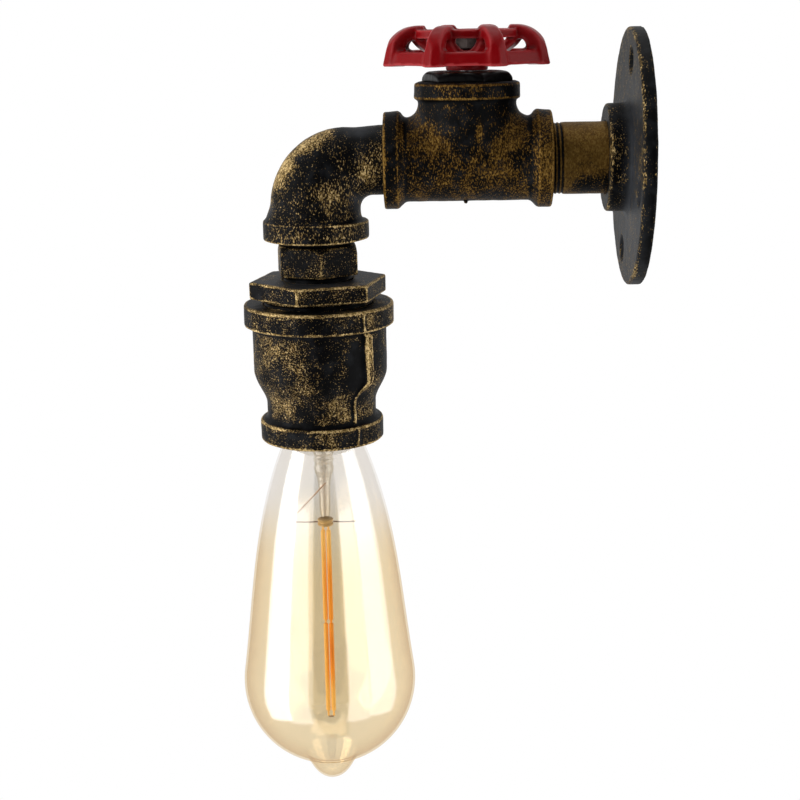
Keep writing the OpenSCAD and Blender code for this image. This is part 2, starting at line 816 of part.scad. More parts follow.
// Porcelain body: wiring chamber, deck and the skirt round the lamp cap
module holder_body() {
    skirt_bore = shell_bore + 2 * shell_t + 2 * seat_play;
    color(porcelain) at_drop() difference() {
        rod(holder_d, shell_top - skirt_len, cup_step - holder_top_t);
        rod(chamber_bore, holder_deck, cup_step - holder_top_t + past);
        rod(skirt_bore, shell_top - skirt_len - past, shell_top);
        rod(rivet_d + 2 * fit, shell_top - past, holder_deck + past);
        translate([terminal_x, 0, 0]) rod(rivet_d + 2 * fit, shell_top - past, holder_deck + past);
    }
}

// Brass screw shell with its top flange and rivet
module screw_shell() {
    out = shell_bore + 2 * shell_t;
    color(brass) at_drop() {
        ring(out, shell_bore, shell_top - shell_len, shell_top - shell_t);
        ring(out, shell_bore / 2, shell_top - shell_t, shell_top);
        translate([terminal_x, 0, 0]) rod(rivet_d, shell_top, holder_deck);
    }
}

// Sprung centre contact with its rivet through the deck
module centre_contact() {
    color(brass) at_drop() {
        rod(rivet_d, shell_top, holder_deck);
        rod(contact_d, shell_top - contact_h * 0.6, shell_top);
        rod(contact_d * 0.6, shell_top - contact_h, shell_top - contact_h * 0.6);
    }
}

// Clamp terminals on the deck, each with its screw
module holder_terminals() {
    bar = terminal_x + terminal_w / 2;
    head = 0.8;
    color(brass) at_drop() {
        for (s = [-1, 1]) translate([s * terminal_x, 0, holder_deck]) {
            translate([-terminal_w / 2, -terminal_w / 2, 0]) cube([terminal_w, terminal_w, terminal_h]);
            rod(rivet_d, terminal_h, terminal_h + head);
        }
        translate([-bar + terminal_w, -rivet_d / 2, holder_deck])
            cube([bar - terminal_w + rivet_d / 2, rivet_d, head]);
    }
}

pole_x = 2.9;
pole_screw_d = 3;
pole_deep = 5;
pole_top = 7.5;
pole_hole_d = wire_d + 0.6;

// Two-pole terminal block, a push fit in the pipe
module terminal_block() {
    middle = (block_start + block_end) / 2;
    color(phenolic) along_pipe() difference() {
        intersection() {
            rod(pipe_bore - 2 * seat_play, block_start, block_end);
            translate([-block_w / 2, -pipe_bore, block_start])
                cube([block_w, pipe_bore + pole_top, block_len]);
        }
        for (s = [-1, 1]) translate([s * pole_x, 0, 0]) {
            rod(pole_hole_d, block_start - past, middle - wire_d);
            rod(pole_hole_d, middle + wire_d, block_end + past);
        }
        at_poles() cylinder(d = pole_screw_d + 2 * fit, h = pole_deep + past);
    }
}

// Places of the four clamping screws of the terminal block
module at_poles() {
    for (s = [-1, 1]) for (z = [block_start + block_len / 4, block_end - block_len / 4])
        translate([s * pole_x, pole_top - pole_deep, z]) rotate([-90, 0, 0]) children();
}

module block_screws() {
    slot_w = 0.6;
    slot_deep = 0.8;
    color(brass) along_pipe() at_poles() difference() {
        cylinder(d = pole_screw_d, h = pole_deep);
        translate([-pole_screw_d, -slot_w / 2, pole_deep - slot_deep])
            cube([2 * pole_screw_d, slot_w, past + slot_deep]);
    }
}

// Wire routes, as points along their centre lines
wire_start = block_end - block_len / 4 + pole_screw_d / 2 + wire_d / 2 + 0.2;
stud_x = 2;
wire_r = wire_d / 2;
chamber_mid = holder_deck + terminal_h - 1.4;
wire_end = terminal_x - terminal_w / 2 - 0.8;

live_route = [
    [pole_x, -wire_start, 0], [pole_x, -block_end - 6, -0.5], [pole_x + 1, -branch_at + 16, -1.5],
    [blade_x, -branch_at + 6, 2], [blade_x, -branch_at, blade_bottom - 4],
    [blade_x, -branch_at, blade_bottom - 2], [blade_x, -branch_at, blade_bottom - fit]
];

switched_route = [
    [-blade_x, -branch_at, blade_bottom - fit], [-blade_x, -branch_at, blade_bottom - 2],
    [-blade_x, -branch_at, blade_bottom - 4], [-blade_x, -branch_at - 7, 2],
    [-4, -branch_at - 16, -0.5], [-3.4, -tee_end - 2, -0.5],
    [-3, -drop_at + elbow_bend + 1, -1], [-2.8, -drop_at + 5, -5.5], [-2.6, -drop_at, -elbow_bend - 2],
    [-stud_x, -drop_at, hexn_top], [-stud_x, -drop_at, stud_bottom + 2],
    [-stud_x, -drop_at, stud_bottom - 0.6],
    [-wire_end, -drop_at, chamber_mid]
];

neutral_route = [
    [-pole_x, -wire_start, 0], [-pole_x, -block_end - 6, -1], [-pole_x, -branch_at + 14, -5],
    [0, -branch_at, -6], [3, -branch_at - 16, -5], [3.2, -tee_end - 2, -2.5],
    [3, -drop_at + elbow_bend + 1, -2.5], [2.8, -drop_at + 5, -7], [2.6, -drop_at, -elbow_bend - 4],
    [stud_x, -drop_at, hexn_top], [stud_x, -drop_at, stud_bottom + 2],
    [stud_x, -drop_at, stud_bottom - 0.6],
    [wire_end, -drop_at, chamber_mid]
];

earth_route = [
    [-pipe_bore / 2 + 2.6, -earth_at - earth_d / 2 - wire_r, 0], [-pipe_bore / 2 + 1.7, -earth_at + 4, 0.5],
    [-pipe_bore / 2 + 1.7, -nipple_start - 3, 1], [-pipe_bore / 2 + 2.2, -nipple_start, 1]
];

module live_wire() {
    color("saddlebrown") wire(live_route);
}

module switched_wire() {
    color("firebrick") wire(switched_route);
}

module neutral_wire() {
    color("royalblue") wire(neutral_route);
}

module earth_wire() {
    color("olivedrab") wire(earth_route);
}

// Outer outline of the glass, from the cap down to the tip
function glass_outline(inset) =
    let (r = bulb_d / 2 - inset, neck = bulb_neck_d / 2 - inset, bowl = bulb_bowl - inset,
         lean = 8, join_r = r * cos(lean), join_z = bowl_z + bowl * sin(lean), drop = lamp_joint - join_z,
         side = [[neck, lamp_joint], [neck + drop * 0.152, lamp_joint - drop * 0.33],
             [join_r - drop * 0.05, join_z + drop * 0.34], [join_r, join_z]])
    concat(
        [for (i = [0:20]) bezier(side, i / 20)],
        [for (i = [1:16]) let (a = mix(-lean, pip_lean, i / 16)) [r * cos(a), bowl_z - bowl * sin(a)]]);

// Pear-shaped glass with a drawn pip at its tip
module bulb_glass() {
    pip_r = bulb_d / 2 * cos(pip_lean);
    pip_z = bowl_z - bulb_bowl * sin(pip_lean);
    pip = [[pip_r, pip_z], [pip_r * 0.74, mix(pip_z, lamp_tip, 0.3)],
        [pip_r * 0.62, lamp_tip], [0, lamp_tip]];
    mouth_r = bulb_neck_d / 2 - glass_t;
    color(amber_glass) at_drop() difference() {
        rotate_extrude() polygon(concat([[0, lamp_joint]], glass_outline(0),
            [for (i = [1:8]) bezier(pip, i / 8)]));
        rotate_extrude() polygon(concat([[0, lamp_joint + past], [mouth_r, lamp_joint + past]],
            glass_outline(glass_t), [[0, bowl_z - bulb_bowl + glass_t]]));
    }
}

cap_t = 0.4;
cap_insulator_h = 4;
cap_insulator_r = 9.5;
cap_tip_h = 1.2;
cap_shell_top = lamp_contact - cap_tip_h - cap_insulator_h;

// Outline of the rolled thread, with round crests and hollows
function cap_outline(inset) =
    let (r = cap_d / 2 - inset, swell = 0.55, len = cap_shell_top - lamp_joint - 4,
         turns = floor(len / cap_pitch), steps = 8 * turns)
    [for (i = [0:steps])
        [r - swell + swell * cos(turn * i / 8), lamp_joint + 3 + turns * cap_pitch * i / steps]];

function reversed(p) = [for (i = [len(p) - 1:-1:0]) p[i]];

// Brass screw cap, thread rings rolled in its wall
module bulb_cap() {
    r = cap_d / 2;
    mouth_r = cap_insulator_r + 0.4;
    color(brass) at_drop() rotate_extrude() polygon(concat(
        [[r - cap_t, lamp_joint], [r, lamp_joint]],
        cap_outline(0),
        [[mouth_r, cap_shell_top], [mouth_r - cap_t, cap_shell_top - cap_t]],
        reversed(cap_outline(cap_t))));
}

// Dark glass plug that carries the cap's contact
module cap_insulator() {
    color(black_iron) at_drop() rotate_extrude() polygon([
        [0, cap_shell_top], [cap_insulator_r, cap_shell_top], [5, lamp_contact - cap_tip_h],
        [0, lamp_contact - cap_tip_h]
    ]);
}

// Solder contact at the top of the cap
module cap_contact() {
    color(steel) at_drop() rod(contact_d, lamp_contact - cap_tip_h, lamp_contact);
}

// Glass stem sealed in the neck, with the rod and clamp that carry the filaments
module glass_stem() {
    foot_r = bulb_neck_d / 2 - glass_t - seat_play;
    stem_r = stem_glass_d / 2;
    color(amber_glass) at_drop() {
        rotate_extrude() polygon([
            [0, lamp_joint], [foot_r, lamp_joint], [foot_r, lamp_joint - edge],
            [stem_r * 1.5, lamp_joint - stem_r], [stem_r, lamp_joint - stem_glass_d],
            [stem_r, stem_end + stem_r], [mast_d / 2, stem_end], [0, stem_end]
        ]);
        rod(mast_d, mast_end, stem_end);
        rod(clamp_d, filament_top, mast_end);
    }
}

foot_z = filament_top - filament_len;

// Fine steel wires: the cross support on the clamp, a slanting lead and the tie at the foot
module support_wires() {
    start = clamp_d / 2;
    lead_x = mast_d / 2 + support_d;
    lead_from = [support_d, stem_end - support_d];
    lead_to = [-support_reach * 0.9, stem_end - mast_len * 0.8];
    way = lead_to - lead_from;
    color(steel) at_drop() {
        for (s = [-1, 1]) translate([0, s * start, filament_top + clamp_h / 2]) rotate([-quarter * s, 0, 0])
            cylinder(d = support_d, h = support_reach - start);
        translate([lead_x, lead_from[0], lead_from[1]]) rotate([atan2(-way[0], way[1]), 0, 0])
            cylinder(d = support_d, h = norm(way));
        translate([0, -filament_gap / 2, foot_z - support_d]) rotate([-quarter, 0, 0])
            cylinder(d = support_d, h = filament_gap);
    }
}

// Two columns of two filament sticks each, with their end tags
module filament() {
    tag_d = 0.8;
    tag_len = filament_len / 40;
    stick_gap = tag_len * 0.7;
    stick_len = (filament_len - 2 * tag_len - stick_gap) / 2;
    upper_z = filament_top - tag_len - stick_len;
    lower_z = foot_z + tag_len;
    color("orange") at_drop() for (s = [-1, 1]) translate([0, s * filament_gap / 2, 0]) {
        rod(tag_d, foot_z - support_d / 2, filament_top);
        for (z = [lower_z, upper_z]) rod(filament_d, z, z + stick_len);
    }
}

wall_flange();
wall_nipple();
tee();
bonnet();
street_elbow();
hex_nipple();
reducing_bush();
lamp_cup();
holder_plate();
hollow_stud();
stud_nut();
holder_cap();
holder_body();
screw_shell();
centre_contact();
holder_terminals();
terminal_block();
block_screws();
earth_screw();
live_wire();
switched_wire();
neutral_wire();
earth_wire();
switch_housing();
switch_base();
switch_contacts();
switch_ring();
handwheel();
valve_stem();
wheel_washer();
wheel_nut();
switch_rotor();
bulb_glass();
bulb_cap();
cap_insulator();
cap_contact();
glass_stem();
support_wires();
filament();
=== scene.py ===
"""Dresses the pipe wall light: brushed cast fittings, a red handwheel and an amber bulb."""

import json
import logging
import math
from dataclasses import dataclass
from enum import Enum

import bpy
from mathutils import Matrix, Vector


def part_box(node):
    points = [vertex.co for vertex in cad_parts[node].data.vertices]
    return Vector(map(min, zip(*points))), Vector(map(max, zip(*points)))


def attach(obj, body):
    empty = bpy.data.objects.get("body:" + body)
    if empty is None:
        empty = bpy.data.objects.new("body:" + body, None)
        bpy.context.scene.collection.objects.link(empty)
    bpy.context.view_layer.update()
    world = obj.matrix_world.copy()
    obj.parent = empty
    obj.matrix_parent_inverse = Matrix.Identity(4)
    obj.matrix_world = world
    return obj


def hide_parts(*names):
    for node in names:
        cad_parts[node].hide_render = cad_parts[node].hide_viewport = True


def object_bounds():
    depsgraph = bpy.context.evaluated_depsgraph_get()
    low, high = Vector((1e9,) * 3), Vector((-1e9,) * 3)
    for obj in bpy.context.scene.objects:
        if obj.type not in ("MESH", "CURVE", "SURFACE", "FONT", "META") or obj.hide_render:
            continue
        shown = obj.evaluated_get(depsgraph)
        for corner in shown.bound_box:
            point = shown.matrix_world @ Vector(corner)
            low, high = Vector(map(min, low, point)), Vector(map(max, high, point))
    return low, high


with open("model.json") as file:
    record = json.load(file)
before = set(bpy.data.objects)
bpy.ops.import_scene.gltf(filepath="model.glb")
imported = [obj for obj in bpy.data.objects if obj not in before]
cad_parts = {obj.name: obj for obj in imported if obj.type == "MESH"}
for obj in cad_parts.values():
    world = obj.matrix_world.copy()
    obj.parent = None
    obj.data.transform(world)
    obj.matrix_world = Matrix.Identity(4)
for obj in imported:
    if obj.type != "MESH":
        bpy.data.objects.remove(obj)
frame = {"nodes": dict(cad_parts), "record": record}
CAD_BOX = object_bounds()

log = logging.getLogger("pipe_wall_light")

MM = 0.001
FULL_TURN = 2 * math.pi
HEX_CORNER = math.pi / 6
EDGE = "edge"

Pair = tuple[float, float]
Triple = tuple[float, float, float]
EVEN: Triple = (1.0, 1.0, 1.0)


class Slot(Enum):
    """Material slots of the record."""

    IRON = "antique_iron"
    BLACK = "black_iron"
    RED = "wheel_red"
    STEEL = "steel"
    BRASS = "brass"
    PORCELAIN = "porcelain"
    PHENOLIC = "phenolic"
    WHITE = "white_plastic"
    AMBER = "amber_glass"
    CLEAR = "clear_glass"
    BLACK_GLASS = "black_glass"
    SOLDER = "solder"
    FILAMENT = "filament"
    WIRE_BROWN = "wire_brown"
    WIRE_RED = "wire_red"
    WIRE_BLUE = "wire_blue"
    WIRE_GREEN = "wire_green"


class Body(Enum):
    """Bodies that the pieces ride on."""

    ROOT = "root"
    WHEEL = "wheel"
    BULB = "bulb"


class Ray(Enum):
    """Kinds of ray that see the white background."""

    CAMERA = "Is Camera Ray"
    GLOSSY = "Is Glossy Ray"
    TRANSMISSION = "Is Transmission Ray"


def pick(sockets: bpy.types.bpy_prop_collection, key: int | str) -> bpy.types.NodeSocket:
    """Finds a socket.

    Args:
        sockets: a node's inputs or outputs.
        key: its index, or the identifier or name of a socket in use.

    Returns:
        The socket.
    """
    if isinstance(key, int):
        return sockets[key]
    return next(s for s in sockets if s.enabled and key in (s.identifier, s.name))


def linked(name: str, data: bpy.types.ID) -> bpy.types.Object:
    """Puts a new object into the scene.

    Args:
        name: the object's name.
        data: its mesh, lamp or lens.

    Returns:
        The new object.
    """
    made = bpy.data.objects.new(name, data)
    bpy.context.scene.collection.objects.link(made)
    return made


class Value:
    """One node socket, used in Python expressions as a number is."""

    def __init__(self, bench: "NodeBench", socket: bpy.types.NodeSocket) -> None:
        """Keeps the socket and the bench that its tree belongs to."""
        self.bench = bench
        self.socket = socket

    def of(self, output: str) -> "Value":
        """Another output of the same node."""
        return Value(self.bench, pick(self.socket.node.outputs, output))

    def math(self, operation: str, *others: "Value | float") -> "Value":
        """A Math node on this value, with the others after it."""
        return self.bench.math(operation, self, *others)

    def __add__(self, other: "Value | float") -> "Value":
        """Sum."""
        return self.math("ADD", other)

    def __sub__(self, other: "Value | float") -> "Value":
        """Difference."""
        return self.math("SUBTRACT", other)

    def __rsub__(self, other: float) -> "Value":
        """A number less this value."""
        return self.bench.math("SUBTRACT", other, self)

    def __mul__(self, other: "Value | float") -> "Value":
        """Product."""
        return self.math("MULTIPLY", other)

    def __truediv__(self, other: "Value | float") -> "Value":
        """Quotient."""
        return self.math("DIVIDE", other)

    def __rtruediv__(self, other: float) -> "Value":
        """A number divided by this value."""
        return self.bench.math("DIVIDE", other, self)

    def __neg__(self) -> "Value":
        """The value with its sign changed."""
        return self.math("MULTIPLY", -1.0)

    def __abs__(self) -> "Value":
        """The value without its sign."""
        return self.math("ABSOLUTE")

    __radd__ = __add__
    __rmul__ = __mul__

    def clamped(self) -> "Value":
        """Holds the value between 0 and 1.

        Returns:
            The held value.
        """
        made = self + 0.0
        made.socket.node.use_clamp = True
        return made

    def rise(self, low: float, high: float) -> "Value":
        """Makes a smooth step from 0 to 1.

        Args:
            low: the value at which the step starts, which may be the larger one.
            high: the value at which it ends.

        Returns:
            The step.
        """
        return self.bench.node(
            "ShaderNodeMapRange",
            {"interpolation_type": "SMOOTHSTEP"},
            {"Value": self, "From Min": low, "From Max": high},
        )


class NodeBench:
    """Adds nodes to one tree, for shaders and for shapes alike."""

    def __init__(self, tree: bpy.types.NodeTree) -> None:
        """Keeps the tree that is worked on."""
        self.tree = tree

    def node(self, kind: str, settings: dict | None = None, inputs: dict | None = None) -> Value:
        """Adds a node.

        Args:
            kind: the node's type.
            settings: its properties.
            inputs: numbers, colours or values for its sockets.

        Returns:
            The node's first output in use.
        """
        made = self.tree.nodes.new(kind)
        for name, setting in (settings or {}).items():
            setattr(made, name, setting)
        for key, given in (inputs or {}).items():
            socket = pick(made.inputs, key)
            if isinstance(given, Value):
                self.tree.links.new(given.socket, socket)
            else:
                socket.default_value = given
        shown = [s for s in made.outputs if s.enabled]
        return Value(self, shown[0] if shown else made.inputs[0])

    def math(self, operation: str, *terms: Value | float) -> Value:
        """A Math node on the terms in their order."""
        return self.node("ShaderNodeMath", {"operation": operation}, dict(enumerate(terms)))

    def vector(self, operation: str, *terms: Value | Triple, **named: Value | float) -> Value:
        """A Vector Math node on the terms in their order, and on named sockets."""
        inputs = {**dict(enumerate(terms)), **named}
        return self.node("ShaderNodeVectorMath", {"operation": operation}, inputs)

    def measure(self, spot: Value) -> None:
        """Keeps a place in millimetres, whole and along each axis.

        Args:
            spot: the place in metres.
        """
        self.place = self.vector("SCALE", spot, Scale=1 / MM)
        split = self.node("ShaderNodeSeparateXYZ", inputs={"Vector": self.place})
        self.x, self.y, self.z = (split.of(axis) for axis in "XYZ")

    def noise(self, place: Value, size: float, detail: float = 2.0, rough: float = 0.5) -> Value:
        """Noise whose lumps are about size across, in the unit of place."""
        inputs = {"Vector": place, "Scale": 1 / size, "Detail": detail, "Roughness": rough}
        return self.node("ShaderNodeTexNoise", {"noise_dimensions": "3D"}, inputs)


@dataclass(frozen=True)
class Extent:
    """A box in millimetres."""

    low: Vector
    high: Vector

    @classmethod
    def of(cls, node: str) -> "Extent":
        """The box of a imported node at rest."""
        low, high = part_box(node)
        return cls(low / MM, high / MM)

    @property
    def centre(self) -> Vector:
        """The middle of the box."""
        return (self.low + self.high) / 2

    def grown(self, by: float) -> "Extent":
        """The box with a margin all round."""
        margin = Vector((by, by, by))
        return Extent(self.low - margin, self.high + margin)


@dataclass(frozen=True)
class Grain:
    """How a casting's skin is meshed and roughened, in millimetres."""

    voxel: float = 0.42
    lump_size: float = 7.0
    lump_height: float = 0.16
    pit_size: float = 1.6
    pit_height: float = 0.05
    edge_passes: int = 4


class Clay(NodeBench):
    """A geometry tree that shapes one piece as a distance field in millimetres.

    Where a method takes soft, that is the size of its fillet or rounded edge.
    """

    BAND = 4.0
    CRISP = 0.3
    CURVE_STEPS = 16
    WIRE_SIDES = 12

    def __init__(self, name: str) -> None:
        """Starts an empty tree whose output is a mesh.

        Args:
            name: the tree's name.
        """
        tree = bpy.data.node_groups.new(name, "GeometryNodeTree")
        tree.interface.new_socket("Mesh", in_out="OUTPUT", socket_type="NodeSocketGeometry")
        super().__init__(tree)
        self.entry = tree.nodes.new("NodeGroupInput")
        self.chosen: dict[str, float] = {}
        self.stock: bpy.types.Mesh | None = None
        self.spot = self.node("GeometryNodeInputPosition")
        self.measure(self.spot)

    def opening(self, label: str, kind: str = "NodeSocketFloat") -> Value:
        """A new named input of the tree."""
        socket = self.tree.interface.new_socket(label, in_out="INPUT", socket_type=kind)
        return Value(self, pick(self.entry.outputs, socket.identifier))

    def sizes(self, **given: float) -> list[Value]:
        """Adds named inputs to the tree.

        Args:
            **given: each input's label, with the value that this piece gives it.

        Returns:
            The inputs, in the same order.
        """
        made = [self.opening(label) for label in given]
        self.chosen |= {m.socket.identifier: size for m, size in zip(made, given.values())}
        return made

    def blank(self, mesh: bpy.types.Mesh) -> Value:
        """The mesh that the tree starts from, which has to be its first input."""
        self.stock = mesh
        return self.opening("Blank", "NodeSocketGeometry")

    def strand(self, start: Triple, end: Triple, sag: float, radius: Value) -> Value:
        """Bends a round wire that hangs a little.

        Args:
            start: its first point in millimetres.
            end: its last point.
            sag: how far the curve's handles hang down.
            radius: the wire's radius in metres.

        Returns:
            The wire's mesh.
        """
        first, last = Vector(start) * MM, Vector(end) * MM
        thirds = [first.lerp(last, share) - Vector((0, 0, sag * MM)) for share in (1 / 3, 2 / 3)]
        line = self.node("GeometryNodeCurvePrimitiveBezierSegment", inputs={
            "Resolution": self.CURVE_STEPS, "Start": first, "Start Handle": thirds[0],
            "End Handle": thirds[1], "End": last})
        ring = self.node("GeometryNodeCurvePrimitiveCircle", inputs={
            "Resolution": self.WIRE_SIDES, "Radius": radius})
        return self.node("GeometryNodeCurveToMesh", inputs={
            "Curve": line, "Profile Curve": ring, "Fill Caps": True})

    def gather(self, parts: list[Value]) -> Value:
        """Makes several meshes one.

        Args:
            parts: the meshes.

        Returns:
            The joined mesh.
        """
        whole = self.node("GeometryNodeJoinGeometry")
        for part in parts:
            self.tree.links.new(part.socket, whole.socket.node.inputs[0])
        return whole

    def length(self, u: Value | float, v: Value | float) -> Value:
        """Length of a vector of two values."""
        return self.math("SQRT", u * u + v * v)

    def polar(self, u: Value, v: Value) -> tuple[Value, Value]:
        """Distance from an axis, and the angle from v towards u."""
        return self.length(u, v), self.math("ARCTAN2", u, v)

    def fold(self, angle: Value, count: Value | float) -> Value:
        """The angle to the nearest of count directions spread evenly from 0."""
        step = FULL_TURN / count
        return self.math("FLOORED_MODULO", angle + step * 0.5, step) - step * 0.5

    def helix(self, along: Value, angle: Value, pitch: Value | float) -> Value:
        """A wave between -1 and 1 that winds round an axis, one turn in a pitch."""
        return ((along / pitch - angle / FULL_TURN) * FULL_TURN).math("COSINE")

    def join(self, a: Value, b: Value, soft: Value | float) -> Value:
        """Both shapes, with a fillet between them."""
        return self.math("SMOOTH_MIN", a, b, soft)

    def meet(self, a: Value, b: Value | float, soft: float) -> Value:
        """What both shapes share, with rounded edges."""
        return self.math("SMOOTH_MAX", a, b, soft)

    def cut(self, a: Value, b: Value, soft: float = 0.5) -> Value:
        """The first shape without the second."""
        return self.meet(a, -b, soft)

    def hollow(self, body: Value, radial: Value, radius: float, end: Value,
               soft: float = 0.5) -> Value:
        """A shape with a round hole in it, which stops where the field of its end is 0."""
        return self.cut(body, self.meet(radial - radius, end, self.CRISP), soft)

    def slab(self, along: Value, low: Value | float, high: Value | float) -> Value:
        """The space between two levels."""
        return abs(along - (low + high) * 0.5) - (high - low) * 0.5

    def drum(self, radial: Value, along: Value, radius: Value | float, low: Value | float,
             high: Value | float, soft: float) -> Value:
        """A round disc or rod with rounded edges."""
        return self.meet(radial - radius, self.slab(along, low, high), soft)

    def hexagon(self, radial: Value, angle: Value, flats: Value | float, turn: float) -> Value:
        """An endless hexagonal bar of that width across its flats."""
        return radial * self.fold(angle - (turn + HEX_CORNER), 6.0).math("COSINE") - flats * 0.5

    def turned(self, radial: Value, flats: Value, across: float, below: Value,
               deep: float) -> Value:
        """A cone that takes a hexagon's corners off, down to a depth below its top."""
        slope = (1 / math.cos(HEX_CORNER) - 1) * across / 2 / deep
        return (radial - flats * 0.5 - below * slope) / math.hypot(1, slope)

    def cast(self, distance: Value, extent: Extent, grain: Grain) -> Value:
        """Turns the field into a roughened mesh that knows its edges.

        Args:
            distance: the field, negative inside.
            extent: the box that holds the piece.
            grain: how fine the mesh is and how rough the skin.

        Returns:
            The mesh, with how far each point stands proud of its surroundings as an attribute.
        """
        box = extent.grown(3 * grain.voxel)
        counts = [math.ceil(side / grain.voxel) + 1 for side in box.high - box.low]
        cube = {f"Resolution {axis}": count for axis, count in zip("XYZ", counts)}
        cube |= {"Min": box.low * MM, "Max": box.high * MM}
        cube["Density"] = (0.5 - distance / self.BAND).clamped()
        volume = self.node("GeometryNodeVolumeCube", inputs=cube)
        skin = self.node("GeometryNodeVolumeToMesh", inputs={"Volume": volume, "Threshold": 0.5})
        normal = self.node("GeometryNodeInputNormal")
        lumps = (self.noise(self.place, grain.lump_size) - 0.5) * (2 * grain.lump_height * MM)
        pits = (self.noise(self.place, grain.pit_size) - 0.5) * (2 * grain.pit_height * MM)
        shift = self.vector("SCALE", normal, Scale=lumps + pits)
        rough = self.node("GeometryNodeSetPosition", inputs={"Geometry": skin, "Offset": shift})
        return self.with_edges(rough, normal, grain.edge_passes)

    def with_edges(self, mesh: Value, normal: Value, passes: int) -> Value:
        """Stores how far each point stands proud of its surroundings.

        Args:
            mesh: the roughened skin.
            normal: the skin's normals.
            passes: how often the points are evened out for the surroundings.

        Returns:
            The mesh, with that measure in millimetres as an attribute.
        """
        blur = {"Value": self.spot, "Iterations": passes}
        even = self.node("GeometryNodeBlurAttribute", {"data_type": "FLOAT_VECTOR"}, blur)
        away = self.vector("SUBTRACT", self.spot, even)
        proud = self.vector("DOT_PRODUCT", away, normal).of("Value") / MM
        settings = {"data_type": "FLOAT", "domain": "POINT"}
        stored = {"Geometry": mesh, "Name": EDGE, "Value": proud}
        return self.node("GeometryNodeStoreNamedAttribute", settings, stored)

    def fire(self, name: str, mesh: Value, material: bpy.types.Material) -> bpy.types.Object:
        """Ends the tree, runs it and keeps its result as a plain mesh.

        Args:
            name: the piece's name.
            mesh: what the tree has made.
            material: its finish.

        Returns:
            The new object, at the origin.
        """
        smooth = self.node("GeometryNodeSetShadeSmooth", inputs={"Geometry": mesh})
        whole = self.node("GeometryNodeRealizeInstances", inputs={"Geometry": smooth})
        dressed = self.node("GeometryNodeSetMaterial", inputs={
            "Geometry": whole, "Material": material})
        self.node("NodeGroupOutput", inputs={0: dressed})
        holder = linked(f"{name}_clay", self.stock or bpy.data.meshes.new(f"{name}_clay"))
        modifier = holder.modifiers.new("shape", "NODES")
        modifier.node_group = self.tree
        for identifier, number in self.chosen.items():
            modifier[identifier] = number
        evaluated = holder.evaluated_get(bpy.context.evaluated_depsgraph_get())
        mesh_data = bpy.data.meshes.new_from_object(evaluated)
        if not mesh_data.polygons:
            raise ValueError(f"{name} has no faces")
        bpy.data.objects.remove(holder)
        return new_piece(name, mesh_data, material)

    def casting(self, node: str, distance: Value, finish: "Finish", grain: Grain,
                body: Body = Body.ROOT, slot: Slot = Slot.IRON, margin: float = 0.0) -> None:
        """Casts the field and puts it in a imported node's place.

        Args:
            node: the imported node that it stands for.
            distance: the field, negative inside.
            finish: how it looks.
            grain: how fine its mesh is and how rough its skin.
            body: what it rides on.
            slot: its material slot.
            margin: how far the field may reach past the node's box.
        """
        extent = Extent.of(node).grown(margin)
        piece = self.fire(f"{node}_cast", self.cast(distance, extent, grain), finish.material())
        settle(piece, body, slot, node)


def new_piece(name: str, mesh: bpy.types.Mesh, material: bpy.types.Material) -> bpy.types.Object:
    """Links a mesh into the scene as an object with one material.

    Args:
        name: the name of object and mesh.
        mesh: its shape.
        material: its finish.

    Returns:
        The new object.
    """
    mesh.name = name
    mesh.materials.clear()
    mesh.materials.append(material)
    return linked(name, mesh)


def sheet(name: str, corners: list[Triple], material: bpy.types.Material) -> bpy.types.Object:
    """Makes a flat piece with four corners.

    Args:
        name: the piece's name.
        corners: its corners in metres, in their order.
        material: its finish.

    Returns:
        The new object.
    """
    mesh = bpy.data.meshes.new(name)
    mesh.from_pydata(corners, [], [(0, 1, 2, 3)])
    return new_piece(name, mesh, material)


def settle(piece: bpy.types.Object, body: Body, slot: Slot, *nodes: str) -> None:
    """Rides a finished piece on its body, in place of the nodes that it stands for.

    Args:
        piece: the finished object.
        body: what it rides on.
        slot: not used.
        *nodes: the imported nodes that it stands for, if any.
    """
    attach(piece, body.value)
    if nodes:
        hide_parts(*nodes)
    log.info("%s: %d faces on %s", piece.name, len(piece.data.polygons), body.value)


